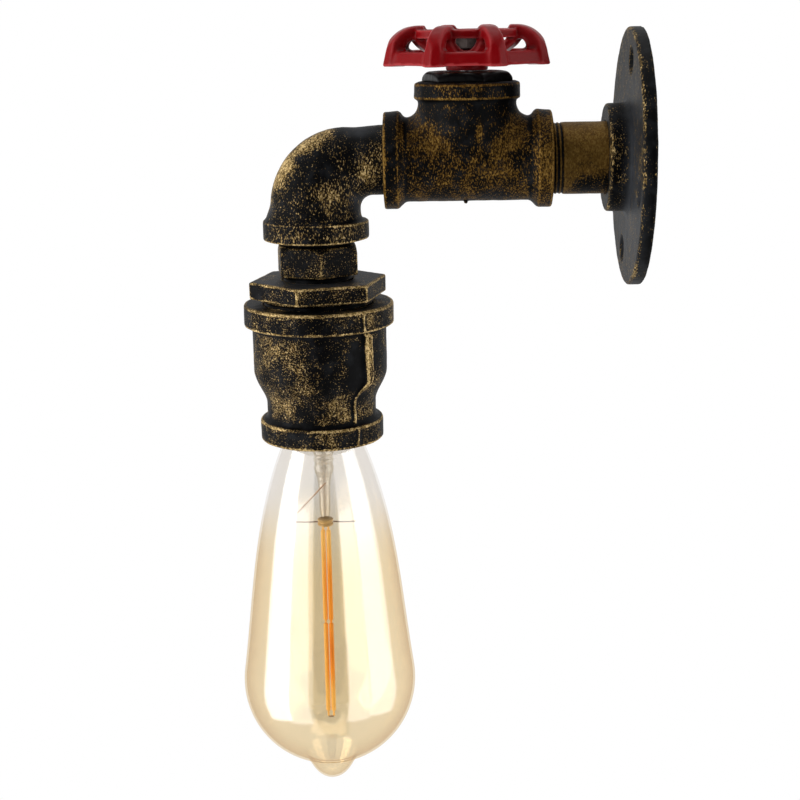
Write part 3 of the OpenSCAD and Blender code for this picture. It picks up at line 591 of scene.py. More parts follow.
class ShaderBench(NodeBench):
    """The node tree of one material, with its place in millimetres."""

    def __init__(self, name: str) -> None:
        """Starts a material with an empty tree.

        Args:
            name: the material's name.
        """
        self.material = bpy.data.materials.new(name)
        self.material.use_nodes = True
        self.material.node_tree.nodes.clear()
        super().__init__(self.material.node_tree)
        self.measure(self.node("ShaderNodeTexCoord").of("Object"))

    def edge(self) -> Value:
        """How far the surface stands proud of its surroundings, in millimetres."""
        return self.node("ShaderNodeAttribute", {"attribute_name": EDGE}).of("Fac")

    def stretched(self, stretch: Triple) -> Value:
        """The place with each axis drawn out by a factor, for strokes."""
        return self.vector("DIVIDE", self.place, stretch)

    def blot(self, centre: Triple, reach: Triple) -> Value:
        """A soft mask, 1 at a point and 0 from its reach along each axis on."""
        away = self.vector("DIVIDE", self.vector("SUBTRACT", self.place, centre), reach)
        return self.vector("LENGTH", away).of("Value").rise(1.0, 0.0)

    def blotted(self, blots: "Blots") -> Value | float:
        """The sum of several blots, each with its strength."""
        return sum(self.blot(centre, reach) * strength for centre, reach, strength in blots)

    def mix(self, share: Value | float, a: Value | Triple, b: Value | Triple) -> Value:
        """Mixes two colours.

        Args:
            share: how much of the second there is.
            a: the first colour.
            b: the second colour.

        Returns:
            The mixed colour.
        """
        a, b = (c if isinstance(c, Value) else (*c, 1.0) for c in (a, b))
        settings = {"data_type": "RGBA", "clamp_factor": True}
        return self.node("ShaderNodeMix", settings, {"Factor": share, "A": a, "B": b})

    def bump(self, height: Value, depth: float, strength: float = 1.0) -> Value:
        """A normal from a height between 0 and 1, with its depth in millimetres."""
        inputs = {"Height": height, "Distance": depth * MM, "Strength": strength}
        return self.node("ShaderNodeBump", inputs=inputs)

    def blend(self, share: Value | float, a: Value, b: Value) -> Value:
        """A shader between two, at a share of the second."""
        return self.node("ShaderNodeMixShader", inputs={0: share, 1: a, 2: b})

    def principled(self, **inputs: object) -> Value:
        """A Principled shader; an underscore in a name stands for a space."""
        named = {key.replace("_", " "): given for key, given in inputs.items()}
        return self.node("ShaderNodeBsdfPrincipled", inputs=named)

    def finish(self, shader: Value) -> bpy.types.Material:
        """Shows a shader on the material's surface."""
        self.node("ShaderNodeOutputMaterial", inputs={"Surface": shader})
        return self.material


Blots = tuple[tuple[Triple, Triple, float], ...]


@dataclass(frozen=True)
class Finish:
    """A finish that makes itself a material.

    Sizes and places are in millimetres, and a pair called an edge says where a soft step starts and
    where it ends.
    """

    name: str

    def shader(self, bench: ShaderBench) -> Value:
        """The finish as nodes."""
        raise NotImplementedError

    def material(self) -> bpy.types.Material:
        """A new material with this finish."""
        bench = ShaderBench(self.name)
        return bench.finish(self.shader(bench))


@dataclass(frozen=True)
class AntiqueIron(Finish):
    """Black casting, dry-brushed with antique gold, with grey slate and painted sheen on the black.
    """

    cover: float = 0.36
    blots: Blots = ()
    # Blots of painted sheen: grey slate where light glances off the black.
    painted_sheens: Blots = ()
    stroke: Triple = (1.0, 1.0, 1.9)
    haze: float = 0.2
    edge_gold: float = 0.62
    patch: float = 1.1
    patch_size: float = 13.0
    mottle_size: float = 4.2
    speck_size: float = 0.52
    grit_size: float = 0.5
    grit_depth: float = 0.16
    specular: float = 0.035
    black: Triple = (0.0016, 0.0017, 0.0019)
    # Grey of the random slate patches and of the painted sheen.
    slate_and_painted_sheen: Triple = (0.040, 0.043, 0.049)
    wash: Triple = (0.045, 0.024, 0.0055)
    gold: Triple = (0.15, 0.094, 0.030)
    pale_gold: Triple = (0.72, 0.525, 0.24)
    mottle: float = 0.8
    worn_edge: Pair = (0.045, 0.085)
    hollow_edge: Pair = (-0.015, -0.07)
    hollow_loss: float = 0.9
    speck_gain: float = 3.6
    gold_edge: Pair = (0.0, 0.14)
    dull: float = 0.22
    dull_size: float = 5.0
    dull_edge: Pair = (0.45, 0.75)
    haze_edge: Pair = (0.30, 0.95)
    thick_bright: float = 0.7
    tone_bright: float = 1.8
    bright_edge: Pair = (0.0, 0.9)
    grit_share: float = 0.6
    gold_share: float = 0.4
    metallic: float = 0.35
    rough: float = 0.44
    rough_more: float = 0.08

    def brush(self, bench: ShaderBench) -> Value:
        """How thickly the gold lies, from the broad patches and the piece's own blots."""
        broad = (bench.noise(bench.place, self.patch_size) - 0.5) * self.patch
        return broad + self.cover + bench.blotted(self.blots)

    def shader(self, bench: ShaderBench) -> Value:
        """Lays the finish out as nodes.

        Args:
            bench: the nodes of the material.

        Returns:
            The shader.
        """
        edge = bench.edge()
        mottle = (bench.noise(bench.place, self.mottle_size) - 0.5) * self.mottle
        worn = edge.rise(*self.worn_edge) * self.edge_gold
        amount = self.brush(bench) + mottle + worn
        amount = amount - edge.rise(*self.hollow_edge) * self.hollow_loss
        speck = bench.noise(bench.stretched(self.stroke), self.speck_size, 3.0, 0.6)
        level = (speck - 0.5) * self.speck_gain + amount - 0.5
        gold = level.rise(*self.gold_edge)
        tone = bench.noise(bench.place, 1.0, 3.0)
        dull = bench.noise(bench.place, self.dull_size, 3.0).rise(*self.dull_edge) * self.dull
        # The black ground takes grey slate in random patches, and as painted sheen in the sheen
        # blots.
        bare = bench.mix(dull + bench.blotted(self.painted_sheens), self.black, self.slate_and_painted_sheen)
        ground = bench.mix(amount.rise(*self.haze_edge) * self.haze, bare, self.wash)
        bright = level * self.thick_bright + (tone - 0.5) * self.tone_bright
        leaf = bench.mix(bright.rise(*self.bright_edge), self.gold, self.pale_gold)
        grit = bench.noise(bench.place, self.grit_size, 3.0, 0.6) * self.grit_share
        grit = grit + gold * self.gold_share
        return bench.principled(
            Base_Color=bench.mix(gold, ground, leaf),
            Metallic=gold * self.metallic,
            Roughness=self.rough + gold * self.rough_more + tone * self.rough_more,
            Normal=bench.bump(grit, self.grit_depth, 0.7),
            Specular_IOR_Level=self.specular,
        )


@dataclass(frozen=True)
class TeeIron(AntiqueIron):
    """The tee's finish: the branch is left black in the V where it meets the run."""

    branch_at: float = 64.0
    bare: float = 0.28
    bare_edge: Pair = (-1.5, 2.5)
    streak: float = 0.75
    streak_at: Triple = (15.0, 4.0, 12.0)
    streak_reach: Triple = (14.0, 2.6, 10.0)

    def brush(self, bench: ShaderBench) -> Value:
        """Thins the gold above the two slanting lines where branch and run meet.

        Args:
            bench: the nodes of the material.

        Returns:
            How thickly the gold lies.
        """
        off = abs(bench.y + self.branch_at)
        above = (bench.z - off).rise(*self.bare_edge)
        x, y, z = self.streak_at
        streak = bench.blot((x, y - self.branch_at, z), self.streak_reach)
        return super().brush(bench) - above * self.bare + streak * self.streak


@dataclass(frozen=True)
class Enamel(Finish):
    """Thick glossy paint over a casting: paler edges from worn paint and a painted highlight."""

    colour: Triple = (0.215, 0.0026, 0.0044)
    # Pale red of worn paint, also a painted highlight along the edges.
    worn: Triple = (0.46, 0.060, 0.064)
    deep: Triple = (0.06, 0.001, 0.0016)
    specular: float = 0.06
    coat: float = 0.02
    coat_rough: float = 0.22
    rough: float = 0.26
    rough_more: float = 0.10
    cloud: float = 0.2
    cloud_size: float = 5.0
    hollow: float = 0.8
    hollow_edge: Pair = (-0.02, -0.16)
    # How strongly, and from where, edges turn paler: worn paint and a painted highlight.
    wear_and_highlight: float = 0.60
    worn_edge: Pair = (0.05, 0.22)
    peel: float = 0.05
    peel_size: float = 1.3

    def shader(self, bench: ShaderBench) -> Value:
        """Lays the finish out as nodes.

        Args:
            bench: the nodes of the material.

        Returns:
            The shader.
        """
        edge = bench.edge()
        cloud = bench.noise(bench.place, self.cloud_size, 3.0)
        body = bench.mix(edge.rise(*self.hollow_edge) * self.hollow, self.colour, self.deep)
        # Paler edges: worn thin paint and a painted highlight, with a random cloud.
        worn = edge.rise(*self.worn_edge) * self.wear_and_highlight + (cloud - 0.5) * self.cloud
        colour = bench.mix(worn, body, self.worn)
        peel = bench.noise(bench.place, self.peel_size, 2.0)
        return bench.principled(
            Base_Color=colour,
            Roughness=self.rough + cloud * self.rough_more,
            Normal=bench.bump(peel, self.peel, 0.5),
            Specular_IOR_Level=self.specular,
            Coat_Weight=self.coat,
            Coat_Roughness=self.coat_rough,
        )


@dataclass(frozen=True)
class BlackPaint(Finish):
    """Satin black paint with a dusting of gold on its top."""

    top: float
    colour: Triple = (0.0016, 0.0017, 0.0019)
    gold: Triple = (0.12, 0.075, 0.022)
    specular: float = 0.10
    speck_size: float = 0.8
    dust: float = 0.4
    dust_depth: float = 1.6
    dust_level: float = 0.88
    dust_edge: Pair = (0.0, 0.2)
    rough: float = 0.24
    rough_more: float = 0.16
    peel: float = 0.12

    def shader(self, bench: ShaderBench) -> Value:
        """Lays the finish out as nodes.

        Args:
            bench: the nodes of the material.

        Returns:
            The shader.
        """
        speck = bench.noise(bench.place, self.speck_size, 4.0, 0.6)
        dust = bench.z.rise(self.top - self.dust_depth, self.top) * self.dust
        trace = (dust + speck - self.dust_level).rise(*self.dust_edge)
        tone = bench.noise(bench.place, 3.0, 3.0)
        return bench.principled(
            Base_Color=bench.mix(trace, self.colour, self.gold),
            Specular_IOR_Level=self.specular,
            Roughness=self.rough + tone * self.rough_more,
            Normal=bench.bump(tone, self.peel, 0.5),
        )


@dataclass(frozen=True)
class Metal(Finish):
    """Plain metal with fine drawn lines and a few dull spots."""

    colour: Triple
    dull: Triple
    rough: float = 0.28
    line: Triple = (1.0, 1.0, 6.0)
    line_size: float = 0.35
    line_depth: float = 0.02
    line_rough: float = 0.15
    spot_size: float = 3.0
    spot_edge: Pair = (0.5, 0.75)
    spot_rough: float = 0.2

    def shader(self, bench: ShaderBench) -> Value:
        """Lays the finish out as nodes.

        Args:
            bench: the nodes of the material.

        Returns:
            The shader.
        """
        lines = bench.noise(bench.stretched(self.line), self.line_size, 2.0)
        spots = bench.noise(bench.place, self.spot_size, 4.0, 0.6).rise(*self.spot_edge)
        return bench.principled(
            Base_Color=bench.mix(spots, self.colour, self.dull),
            Metallic=1.0,
            Roughness=self.rough + spots * self.spot_rough + (lines - 0.5) * self.line_rough,
            Normal=bench.bump(lines, self.line_depth, 0.5),
        )


@dataclass(frozen=True)
class Moulded(Finish):
    """Glazed, moulded or extruded surface with a little cloud and peel."""

    colour: Triple
    shade: Triple
    rough: float = 0.4
    peel: float = 0.03
    coat: float = 0.0
    peel_size: float = 0.9
    cloud_size: float = 4.0
    cloud_edge: Pair = (0.35, 0.75)
    cloud_rough: float = 0.2
    speck: float = 0.25
    speck_size: float = 0.6
    speck_edge: Pair = (0.58, 0.75)

    def shader(self, bench: ShaderBench) -> Value:
        """Lays the finish out as nodes.

        Args:
            bench: the nodes of the material.

        Returns:
            The shader.
        """
        cloud = bench.noise(bench.place, self.cloud_size, 4.0, 0.6)
        speck = bench.noise(bench.place, self.speck_size, 3.0).rise(*self.speck_edge)
        share = cloud.rise(*self.cloud_edge) + speck * self.speck
        return bench.principled(
            Base_Color=bench.mix(share, self.colour, self.shade),
            Roughness=self.rough + (cloud - 0.5) * self.cloud_rough,
            Normal=bench.bump(bench.noise(bench.place, self.peel_size, 2.0), self.peel, 0.6),
            Coat_Weight=self.coat,
        )


@dataclass(frozen=True)
class ThinGlass(Finish):
    """Thin blown glass whose tint deepens where it is seen edge-on and fades towards its neck."""

    face: Triple = (0.972, 0.914, 0.795)
    rim: Triple = (0.903, 0.818, 0.685)
    neck: Triple = (0.958, 0.943, 0.925)
    neck_from: float = -160.0
    neck_to: float = -128.0
    shine: float = 0.125
    rough: float = 0.11
    rim_edge: Pair = (0.30, 1.0)
    ripple: Triple = (1.0, 1.0, 3.0)
    ripple_size: float = 9.0
    streak: Triple = (1.0, 1.0, 5.0)
    streak_size: float = 16.0
    streak_share: float = 0.25

    def shader(self, bench: ShaderBench) -> Value:
        """Lays the finish out as nodes.

        Args:
            bench: the nodes of the material.

        Returns:
            The shader.
        """
        face, rim, neck = (
            bench.node("ShaderNodeBsdfTransparent", inputs={"Color": (*tint, 1.0)})
            for tint in (self.face, self.rim, self.neck))
        wave = bench.noise(bench.stretched(self.ripple), self.ripple_size, 1.0)
        ripple = bench.bump(wave, 0.5, 0.15)
        facing = bench.node("ShaderNodeLayerWeight", inputs={"Blend": 0.5}).of("Facing")
        streak = bench.noise(bench.stretched(self.streak), self.streak_size, 2.0)
        deep = (facing.rise(*self.rim_edge) + (streak - 0.5) * self.streak_share).clamped()
        pale = bench.z.rise(self.neck_from, self.neck_to)
        body = bench.blend(pale, bench.blend(deep, face, rim), neck)
        gloss = bench.node("ShaderNodeBsdfGlossy", inputs={
            "Roughness": self.rough, "Normal": ripple})
        return bench.blend(self.shine, body, gloss)


@dataclass(frozen=True)
class Phosphor(Finish):
    """Coating of the filament sticks: orange along the middle, pale at the sides and ends."""

    axis_y: float
    colour: Triple = (0.92, 0.33, 0.020)
    deep: Triple = (0.76, 0.21, 0.008)
    pale: Triple = (0.95, 0.56, 0.15)
    # Strength of the painted glow of the coating.
    painted_glow: float = 0.34
    top_fade: Pair = (-148.0, -166.0)
    foot_fade: Pair = (-218.0, -204.0)
    side_fade: Pair = (-1.7, -0.2)
    core_at: Pair = (0.9, -196.0)
    core_reach: Triple = (9.0, 1.6, 12.0)
    side_share: float = 0.2
    grain: Triple = (1.0, 1.0, 8.0)
    grain_size: float = 1.2
    grain_share: float = 0.5
    rough: float = 0.5
    grain_rough: float = 0.2

    def shader(self, bench: ShaderBench) -> Value:
        """Lays the finish out as nodes.

        Args:
            bench: the nodes of the material.

        Returns:
            The shader.
        """
        grain = bench.noise(bench.stretched(self.grain), self.grain_size, 3.0)
        along = bench.z.rise(*self.top_fade) * bench.z.rise(*self.foot_fade)
        inner = (bench.y - self.axis_y).rise(*self.side_fade)
        share = along * (inner * (1.0 - self.side_share) + self.side_share)
        share = share + (grain - 0.5) * self.grain_share
        aside, height = self.core_at
        core = bench.blot((0.0, self.axis_y + aside, height), self.core_reach)
        colour = bench.mix(core, bench.mix(share, self.pale, self.colour), self.deep)
        return bench.principled(
            # Painted glow: a weak emission brightens the coating; the bulb holds no lamp.
            Base_Color=colour,
            Roughness=self.rough + (grain - 0.5) * self.grain_rough,
            Emission_Color=colour,
            Emission_Strength=self.painted_glow,
        )


@dataclass(frozen=True)
class SoftPanel:
    """A soft lamp: bearing and rise in degrees, sizes in metres, power in watts."""

    name: str
    bearing: float
    rise: float
    distance: float
    width: float
    height: float
    power: float


def heading(bearing: float, rise: float) -> Vector:
    """Finds a direction.

    Args:
        bearing: the turn from +X in degrees.
        rise: the angle above the level in degrees.

    Returns:
        A vector of length 1.
    """
    turn, lift = math.radians(bearing), math.radians(rise)
    level = math.cos(lift)
    return Vector((math.cos(turn) * level, math.sin(turn) * level, math.sin(lift)))


@dataclass
class Studio:
    """Camera, floor and soft light of the photograph, in metres and degrees."""

    eye: Triple = (0.57966, -0.07967, 0.05298)
    yaw: float = -1.13
    pitch: float = 14.08
    roll: float = -1.02
    focal_px: float = 1535.59
    frame_px: int = 800
    sensor: float = 36.0
    clip: float = 0.01
    floor_drop: float = 0.70
    floor_half: float = 6.0
    floor_tones: Pair = (0.78, 0.84)
    shadow_at_y: float = -0.08
    shadow_reach: float = 0.9
    shadow: float = 0.16
    ambient: float = 0.05
    curtain_x: float = 1.15
    curtain_half: float = 0.50
    curtain_low: float = -0.50
    curtain_top: float = 1.3
    curtain_tone: float = 0.012
    runner: Pair = (0.35, 3.0)
    runner_spread: float = 0.42
    runner_tone: float = 0.52
    weave: float = 1.2
    cloth_rough: float = 0.9
    panels: tuple[SoftPanel, ...] = (
        SoftPanel("left_panel", -73.0, 1.0, 0.95, 0.66, 1.80, 14.4),
        SoftPanel("left_front_panel", -41.0, -18.0, 1.05, 0.54, 1.05, 2.9),
        SoftPanel("right_panel", 79.0, 1.0, 0.95, 0.76, 1.80, 8.8),
        SoftPanel("right_front_panel", 41.0, -18.0, 1.05, 0.54, 1.05, 2.7),
        SoftPanel("top_panel", 180.0, 82.0, 0.95, 0.7, 0.7, 3.2),
    )

    def camera(self) -> None:
        """Sets the camera that the photograph was taken with."""
        roll = math.radians(self.roll)
        ahead = -heading(-self.yaw, self.pitch)
        right = ahead.cross(Vector((0, 0, 1))).normalized()
        up = right.cross(ahead)
        across = math.cos(roll) * right + math.sin(roll) * up
        upright = math.cos(roll) * up - math.sin(roll) * right
        lens = bpy.data.cameras.new("camera")
        lens.sensor_width = self.sensor
        lens.lens = self.focal_px * self.sensor / self.frame_px
        lens.clip_start = self.clip
        camera = linked("camera", lens)
        turned = Matrix((across, upright, -ahead)).transposed().to_4x4()
        camera.matrix_world = Matrix.Translation(self.eye) @ turned
        bpy.context.scene.camera = camera

    def panel(self, lamp: SoftPanel, middle: Vector) -> None:
        """Adds a soft rectangular lamp that faces the object's middle.

        Args:
            lamp: its place, sizes and power.
            middle: the object's middle.
        """
        way = heading(lamp.bearing, lamp.rise)
        light = bpy.data.lights.new(lamp.name, "AREA")
        light.shape = "RECTANGLE"
        light.size = lamp.width
        light.size_y = lamp.height
        light.energy = lamp.power
        holder = linked(lamp.name, light)
        holder.location = middle + way * lamp.distance
        holder.rotation_euler = way.to_track_quat("Z", "Y").to_euler()

    def curtain(self, floor: float) -> None:
        """Hangs a dark cloth behind the camera and lays a grey runner, so that blacks stay deep.

        Args:
            floor: the level that the runner lies on.
        """
        near, far = self.runner
        runner = [(x, side * x * self.runner_spread, floor + MM)
                  for x, side in ((near, -1), (far, -1), (far, 1), (near, 1))]
        low, top = self.curtain_low, self.curtain_top
        drape = [(self.curtain_x, side * self.curtain_half, z)
                 for side, z in ((-1, low), (1, low), (1, top), (-1, top))]
        for name, corners, tone in (
                ("runner", runner, self.runner_tone), ("curtain", drape, self.curtain_tone)):
            light = tone * self.weave
            cloth = Moulded(f"{name}_cloth", (tone,) * 3, (light,) * 3, self.cloth_rough)
            hung = sheet(name, corners, cloth.material())
            hung.visible_camera = False
            hung.visible_shadow = name == "curtain"

    @staticmethod
    def seen(bench: NodeBench) -> Value:
        """Tells the rays that show the background: straight, mirrored or through glass.

        Args:
            bench: the nodes that ask.

        Returns:
            1 for such a ray, and 0 for others.
        """
        path = bench.node("ShaderNodeLightPath")
        camera, glossy, through = (path.of(ray.value) for ray in Ray)
        return (camera + glossy + through).clamped()

    def world(self) -> None:
        """Makes the surroundings white to look at and dim as a light."""
        world = bpy.data.worlds.new("studio")
        world.use_nodes = True
        world.node_tree.nodes.clear()
        bench = NodeBench(world.node_tree)
        strength = self.seen(bench) * (1 - self.ambient) + self.ambient
        sky = bench.node("ShaderNodeBackground", inputs={
            "Color": (1, 1, 1, 1), "Strength": strength})
        bench.node("ShaderNodeOutputWorld", inputs={"Surface": sky})
        bpy.context.scene.world = world

    def floor_material(self, level: float) -> bpy.types.Material:
        """Makes a pale floor that takes the object's shadow and is white further off.

        Args:
            level: how high the floor lies.

        Returns:
            The new material.
        """
        bench = ShaderBench("pale_floor")
        dust = bench.noise(bench.place, 60.0, 2.0)
        dark, light = ((tone,) * 3 for tone in self.floor_tones)
        matte = bench.node("ShaderNodeBsdfDiffuse", inputs={"Color": bench.mix(dust, dark, light)})
        white = bench.node("ShaderNodeEmission", inputs={"Color": (1, 1, 1, 1), "Strength": 1.0})
        middle = (0.0, self.shadow_at_y / MM, level / MM)
        near = bench.blot(middle, (self.shadow_reach / MM,) * 3)
        share = self.seen(bench) * (1.0 - near * self.shadow)
        return bench.finish(bench.blend(share, matte, white))

    def floor(self, level: float) -> None:
        """Lays the floor under the hanging light.

        Args:
            level: how high it lies.
        """
        half = self.floor_half
        corners = [(x * half, y * half, level) for x, y in ((-1, -1), (1, -1), (1, 1), (-1, 1))]
        sheet("floor", corners, self.floor_material(level))

    def build(self) -> None:
        """Sets camera, lamps, surroundings and floor."""
        self.camera()
        low, high = CAD_BOX
        middle = (Vector(low) + Vector(high)) / 2
        for lamp in self.panels:
            self.panel(lamp, middle)
        level = Vector(low).z - self.floor_drop
        self.curtain(level)
        self.world()
        self.floor(level)
        bpy.context.scene.view_settings.view_transform = "Standard"


BROWN: dict[str, Triple] = {
    "wash": (0.040, 0.019, 0.003), "gold": (0.085, 0.043, 0.007), "pale_gold": (0.28, 0.162, 0.040)}
PLAIN_BROWN: dict[str, Triple] = {
    "wash": (0.092, 0.048, 0.009), "gold": (0.105, 0.056, 0.011), "pale_gold": (0.20, 0.118, 0.031)}


@dataclass
class Fitting:
    """Sizes of the pipe that all fittings share, in millimetres.

    A soft size rounds an outer edge and a fillet fills an inner one.
    """

    pipe_r: float = 13.35
    bore_r: float = 10.5
    socket_r: float = 13.45
    socket_depth: float = 12.5
    pipe_soft: float = 0.8
    mouth_soft: float = 0.8


@dataclass
class WallEnd(Fitting):
    """Wall flange with its hub, and the short pipe to the tee, in millimetres."""

    plate_t: float = 5.0
    hub_r: float = 20.0
    screw_turn: float = 14.0
    screw_sink: float = 2.25
    earth_at: float = 9.0
    earth_r: float = 2.1
    turn_pitch: float = 1.5
    turns: float = 2.6
    turn_depth: float = 0.6
    plate_soft: float = 1.6
    hub_soft: float = 1.8
    hub_fillet: float = 3.2
    hole_soft: float = 0.6
    grain: Grain = Grain(voxel=0.5)

    def flange(self) -> None:
        """Shapes the round plate, its hub and the four screw holes."""
        box = Extent.of("wall_flange")
        bolts = next(m for m in frame["record"]["mounts"] if m["kind"] == "bolt_pattern")["dims"]
        clay = Clay("flange_shape")
        plate_r, plate_t, hub_r, hub_len = clay.sizes(
            plate_radius=box.high.x, plate_thickness=self.plate_t, hub_radius=self.hub_r,
            hub_length=-box.low.y)
        pitch_r, hole_r, count = clay.sizes(
            pitch_radius=bolts["pcd_mm"] / 2, hole_radius=bolts["hole_r_mm"],
            hole_count=float(bolts["count"]))
        station = -clay.y
        radial, angle = clay.polar(clay.x, clay.z)
        plate = clay.drum(radial, station, plate_r, -plate_t, plate_t, self.plate_soft)
        hub = clay.drum(radial, station, hub_r, -hub_len, hub_len, self.hub_soft)
        body = clay.join(plate, hub, self.hub_fillet)
        off = clay.fold(angle - math.radians(self.screw_turn), count)
        sink = (station - (self.plate_t - self.screw_sink)).math("MAXIMUM", 0.0)
        out, aside = radial * off.math("COSINE") - pitch_r, radial * off.math("SINE")
        hole = clay.length(out, aside) - hole_r - sink
        earth = clay.length(station - self.earth_at, clay.z) - self.earth_r
        body = clay.cut(body, hole, self.hole_soft)
        body = clay.cut(body, earth.math("MAXIMUM", clay.x))
        body = clay.meet(clay.cut(body, radial - self.socket_r, self.mouth_soft), clay.y, 0.5)
        # The sheen blot paints a grey sheen over the plate's face.
        finish = AntiqueIron("antique_flange", cover=0.09, edge_gold=0.30, blots=(
            ((18.0, -9.0, -4.0), (9.0, 6.0, 9.0), 0.22),
            ((0.0, -1.0, 0.0), (200.0, 3.7, 200.0), -0.5),
        ), painted_sheens=(((0.0, -5.0, -10.0), (75.0, 5.0, 60.0), 0.75),))
        clay.casting("wall_flange", body, finish, self.grain)

    def nipple(self) -> None:
        """Shapes the short pipe with a few bare thread turns in front of the tee."""
        box = Extent.of("wall_nipple")
        tee_face = -Extent.of("tee").high.y
        bare_from = tee_face - self.turns * self.turn_pitch
        clay = Clay("nipple_shape")
        pipe_r, bore_r, pitch, depth = clay.sizes(
            pipe_radius=box.high.x, bore_radius=self.bore_r, thread_pitch=self.turn_pitch,
            thread_depth=self.turn_depth)
        station = -clay.y
        radial, angle = clay.polar(clay.x, clay.z)
        wave = clay.helix(station - tee_face, -angle, pitch) * 0.5 + 0.5
        groove = wave * station.rise(bare_from - 0.5, bare_from) * depth
        pipe = clay.drum(
            radial + groove, station, pipe_r, -box.high.y, -box.low.y, self.pipe_soft)
        pipe = clay.cut(pipe, radial - bore_r)
        finish = AntiqueIron("antique_pipe", cover=0.80, haze=1.0, **PLAIN_BROWN, blots=(
            ((0.0, -tee_face, 0.0), (24.0, 6.5, 24.0), -1.4),
            ((0.0, -13.0, 0.0), (22.0, 1.8, 22.0), -0.4),
            ((10.0, -20.0, -11.0), (14.0, 14.0, 9.0), -0.55),
        ))
        clay.casting("wall_nipple", pipe, finish, Grain(lump_height=0.08))

    def build(self) -> None:
        """Builds both pieces."""
        self.flange()
        self.nipple()


@dataclass
class TeeGroup(Fitting):
    """Tee with its branch, and the bonnet that closes it, in millimetres."""

    body_r: float = 15.3
    band_w: float = 8.0
    neck_r: float = 17.5
    branch_band_h: float = 5.4
    way_r: float = 11.0
    saddle: float = 5.0
    saddle_top: float = 14.0
    saddle_rise: Pair = (2.0, 14.0)
    branch_inset: float = 1.8
    bevel_soft: float = 0.7
    band_soft: float = 1.2
    band_fillet: float = 1.2
    branch_fillet: float = 3.4
    nub: Triple = (3.5, 0.8, 15.4)
    nub_r: float = 0.75
    nub_fillet: float = 0.8
    bonnet_af: float = 29.5
    bonnet_turn: float = 20.0
    bonnet_cut: float = 2.0
    bonnet_soft: float = 1.6
    spigot_fillet: float = 0.8
    switch_r: float = 10.1
    switch_top: float = 29.0
    stem_r: float = 3.06
    grain: Grain = Grain(voxel=0.46)

    def tee(self) -> None:
        """Shapes the run with its bands, the branch and the fillet between them."""
        box = Extent.of("tee")
        branch_at = -box.centre.y
        clay = Clay("tee_shape")
        body_r, band_r, band_w, half = clay.sizes(
            body_radius=self.body_r, band_radius=-box.low.z, band_width=self.band_w,
            half_run=(box.high.y - box.low.y) / 2)
        neck_r, top, top_r, top_h = clay.sizes(
            neck_radius=self.neck_r, branch_height=box.high.z, branch_band_radius=box.high.x,
            branch_band_height=self.branch_band_h)
        off = abs(clay.y + branch_at)
        along = clay.length(clay.x, clay.z)
        upright = clay.length(clay.x, clay.y + branch_at)
        run = clay.meet(along - body_r, off - half, 1.0)
        bevel = (along - body_r - off + (half - band_w)) * math.sqrt(0.5)
        band = clay.meet(along - band_r, bevel, self.bevel_soft)
        run = clay.join(run, clay.meet(band, off - half, self.band_soft), self.band_fillet)
        root_r = body_r - self.branch_inset
        flare = root_r + (neck_r - root_r) * clay.z.rise(0.0, box.high.z - self.branch_band_h - 1.0)
        branch = clay.meet(upright - flare, clay.slab(clay.z, 0.0, top), 1.0)
        collar = clay.drum(upright, clay.z, top_r, top - top_h, top, self.band_soft)
        branch = clay.join(branch, collar, self.branch_fillet)
        fillet = clay.z.rise(*self.saddle_rise) * (self.saddle_top - self.saddle) + self.saddle
        body = clay.join(run, branch, fillet)
        nub_x, nub_off, nub_z = self.nub
        beside = clay.length(clay.x - nub_x, clay.y + branch_at + nub_off)
        nub = clay.length(beside, clay.z + nub_z) - self.nub_r
        body = clay.join(body, nub, self.nub_fillet)
        body = clay.cut(body, along - self.way_r)
        body = clay.hollow(body, along, self.socket_r, half - self.socket_depth - off)
        body = clay.hollow(body, upright, self.way_r, -clay.z)
        socket_z = Extent.of("bonnet").low.z - 0.5
        body = clay.hollow(body, upright, self.socket_r, socket_z - clay.z)
        # The sheen blot paints a grey sheen on the run beside the branch.
        finish = TeeIron("antique_tee", cover=0.40, haze=0.75, **BROWN, branch_at=branch_at, blots=(
            ((13.0, -branch_at - 14.0, 6.0), (16.0, 10.0, 11.0), 0.26),
            ((13.0, -branch_at + 14.0, 4.0), (16.0, 9.0, 12.0), 0.30),
            ((10.0, -branch_at + 28.5, 0.0), (24.0, 5.0, 24.0), 0.34),
            ((10.0, -branch_at - 28.5, 6.0), (26.0, 5.0, 26.0), -0.50),
            ((3.5, -branch_at, -15.6), (2.0, 2.0, 2.0), -0.8),
        ), painted_sheens=(((8.0, -branch_at - 19.0, 15.0), (12.0, 5.0, 6.0), 0.7),))
        clay.casting("tee", body, finish, self.grain)

    def bonnet(self) -> None:
        """Shapes the hexagon plug with its soft painted corners."""
        box = Extent.of("bonnet")
        top_of_branch = Extent.of("tee").high.z
        clay = Clay("bonnet_shape")
        flats, top, spigot_r = clay.sizes(
            across_flats=self.bonnet_af, top_level=box.high.z, spigot_radius=self.pipe_r)
        radial, angle = clay.polar(clay.y - box.centre.y, clay.x)
        nut = clay.hexagon(radial, angle, flats, math.radians(self.bonnet_turn))
        cone = clay.turned(radial, flats, self.bonnet_af, top - clay.z, self.bonnet_cut)
        nut = clay.meet(nut, cone, self.bonnet_soft)
        nut = clay.meet(nut, clay.slab(clay.z, top_of_branch, top), self.bonnet_soft)
        spigot = clay.drum(radial, clay.z, spigot_r, box.low.z, top - 1.0, self.pipe_soft)
        plug = clay.join(nut, spigot, self.spigot_fillet)
        plug = clay.hollow(plug, radial, self.switch_r, clay.z - self.switch_top)
        plug = clay.cut(plug, radial - self.stem_r)
        grain = Grain(voxel=0.36, lump_height=0.2, lump_size=5.0)
        paint = BlackPaint("bonnet_black", box.high.z)
        clay.casting("bonnet", plug, paint, grain, slot=Slot.BLACK)

    def build(self) -> None:
        """Builds both pieces."""
        self.tee()
        self.bonnet()


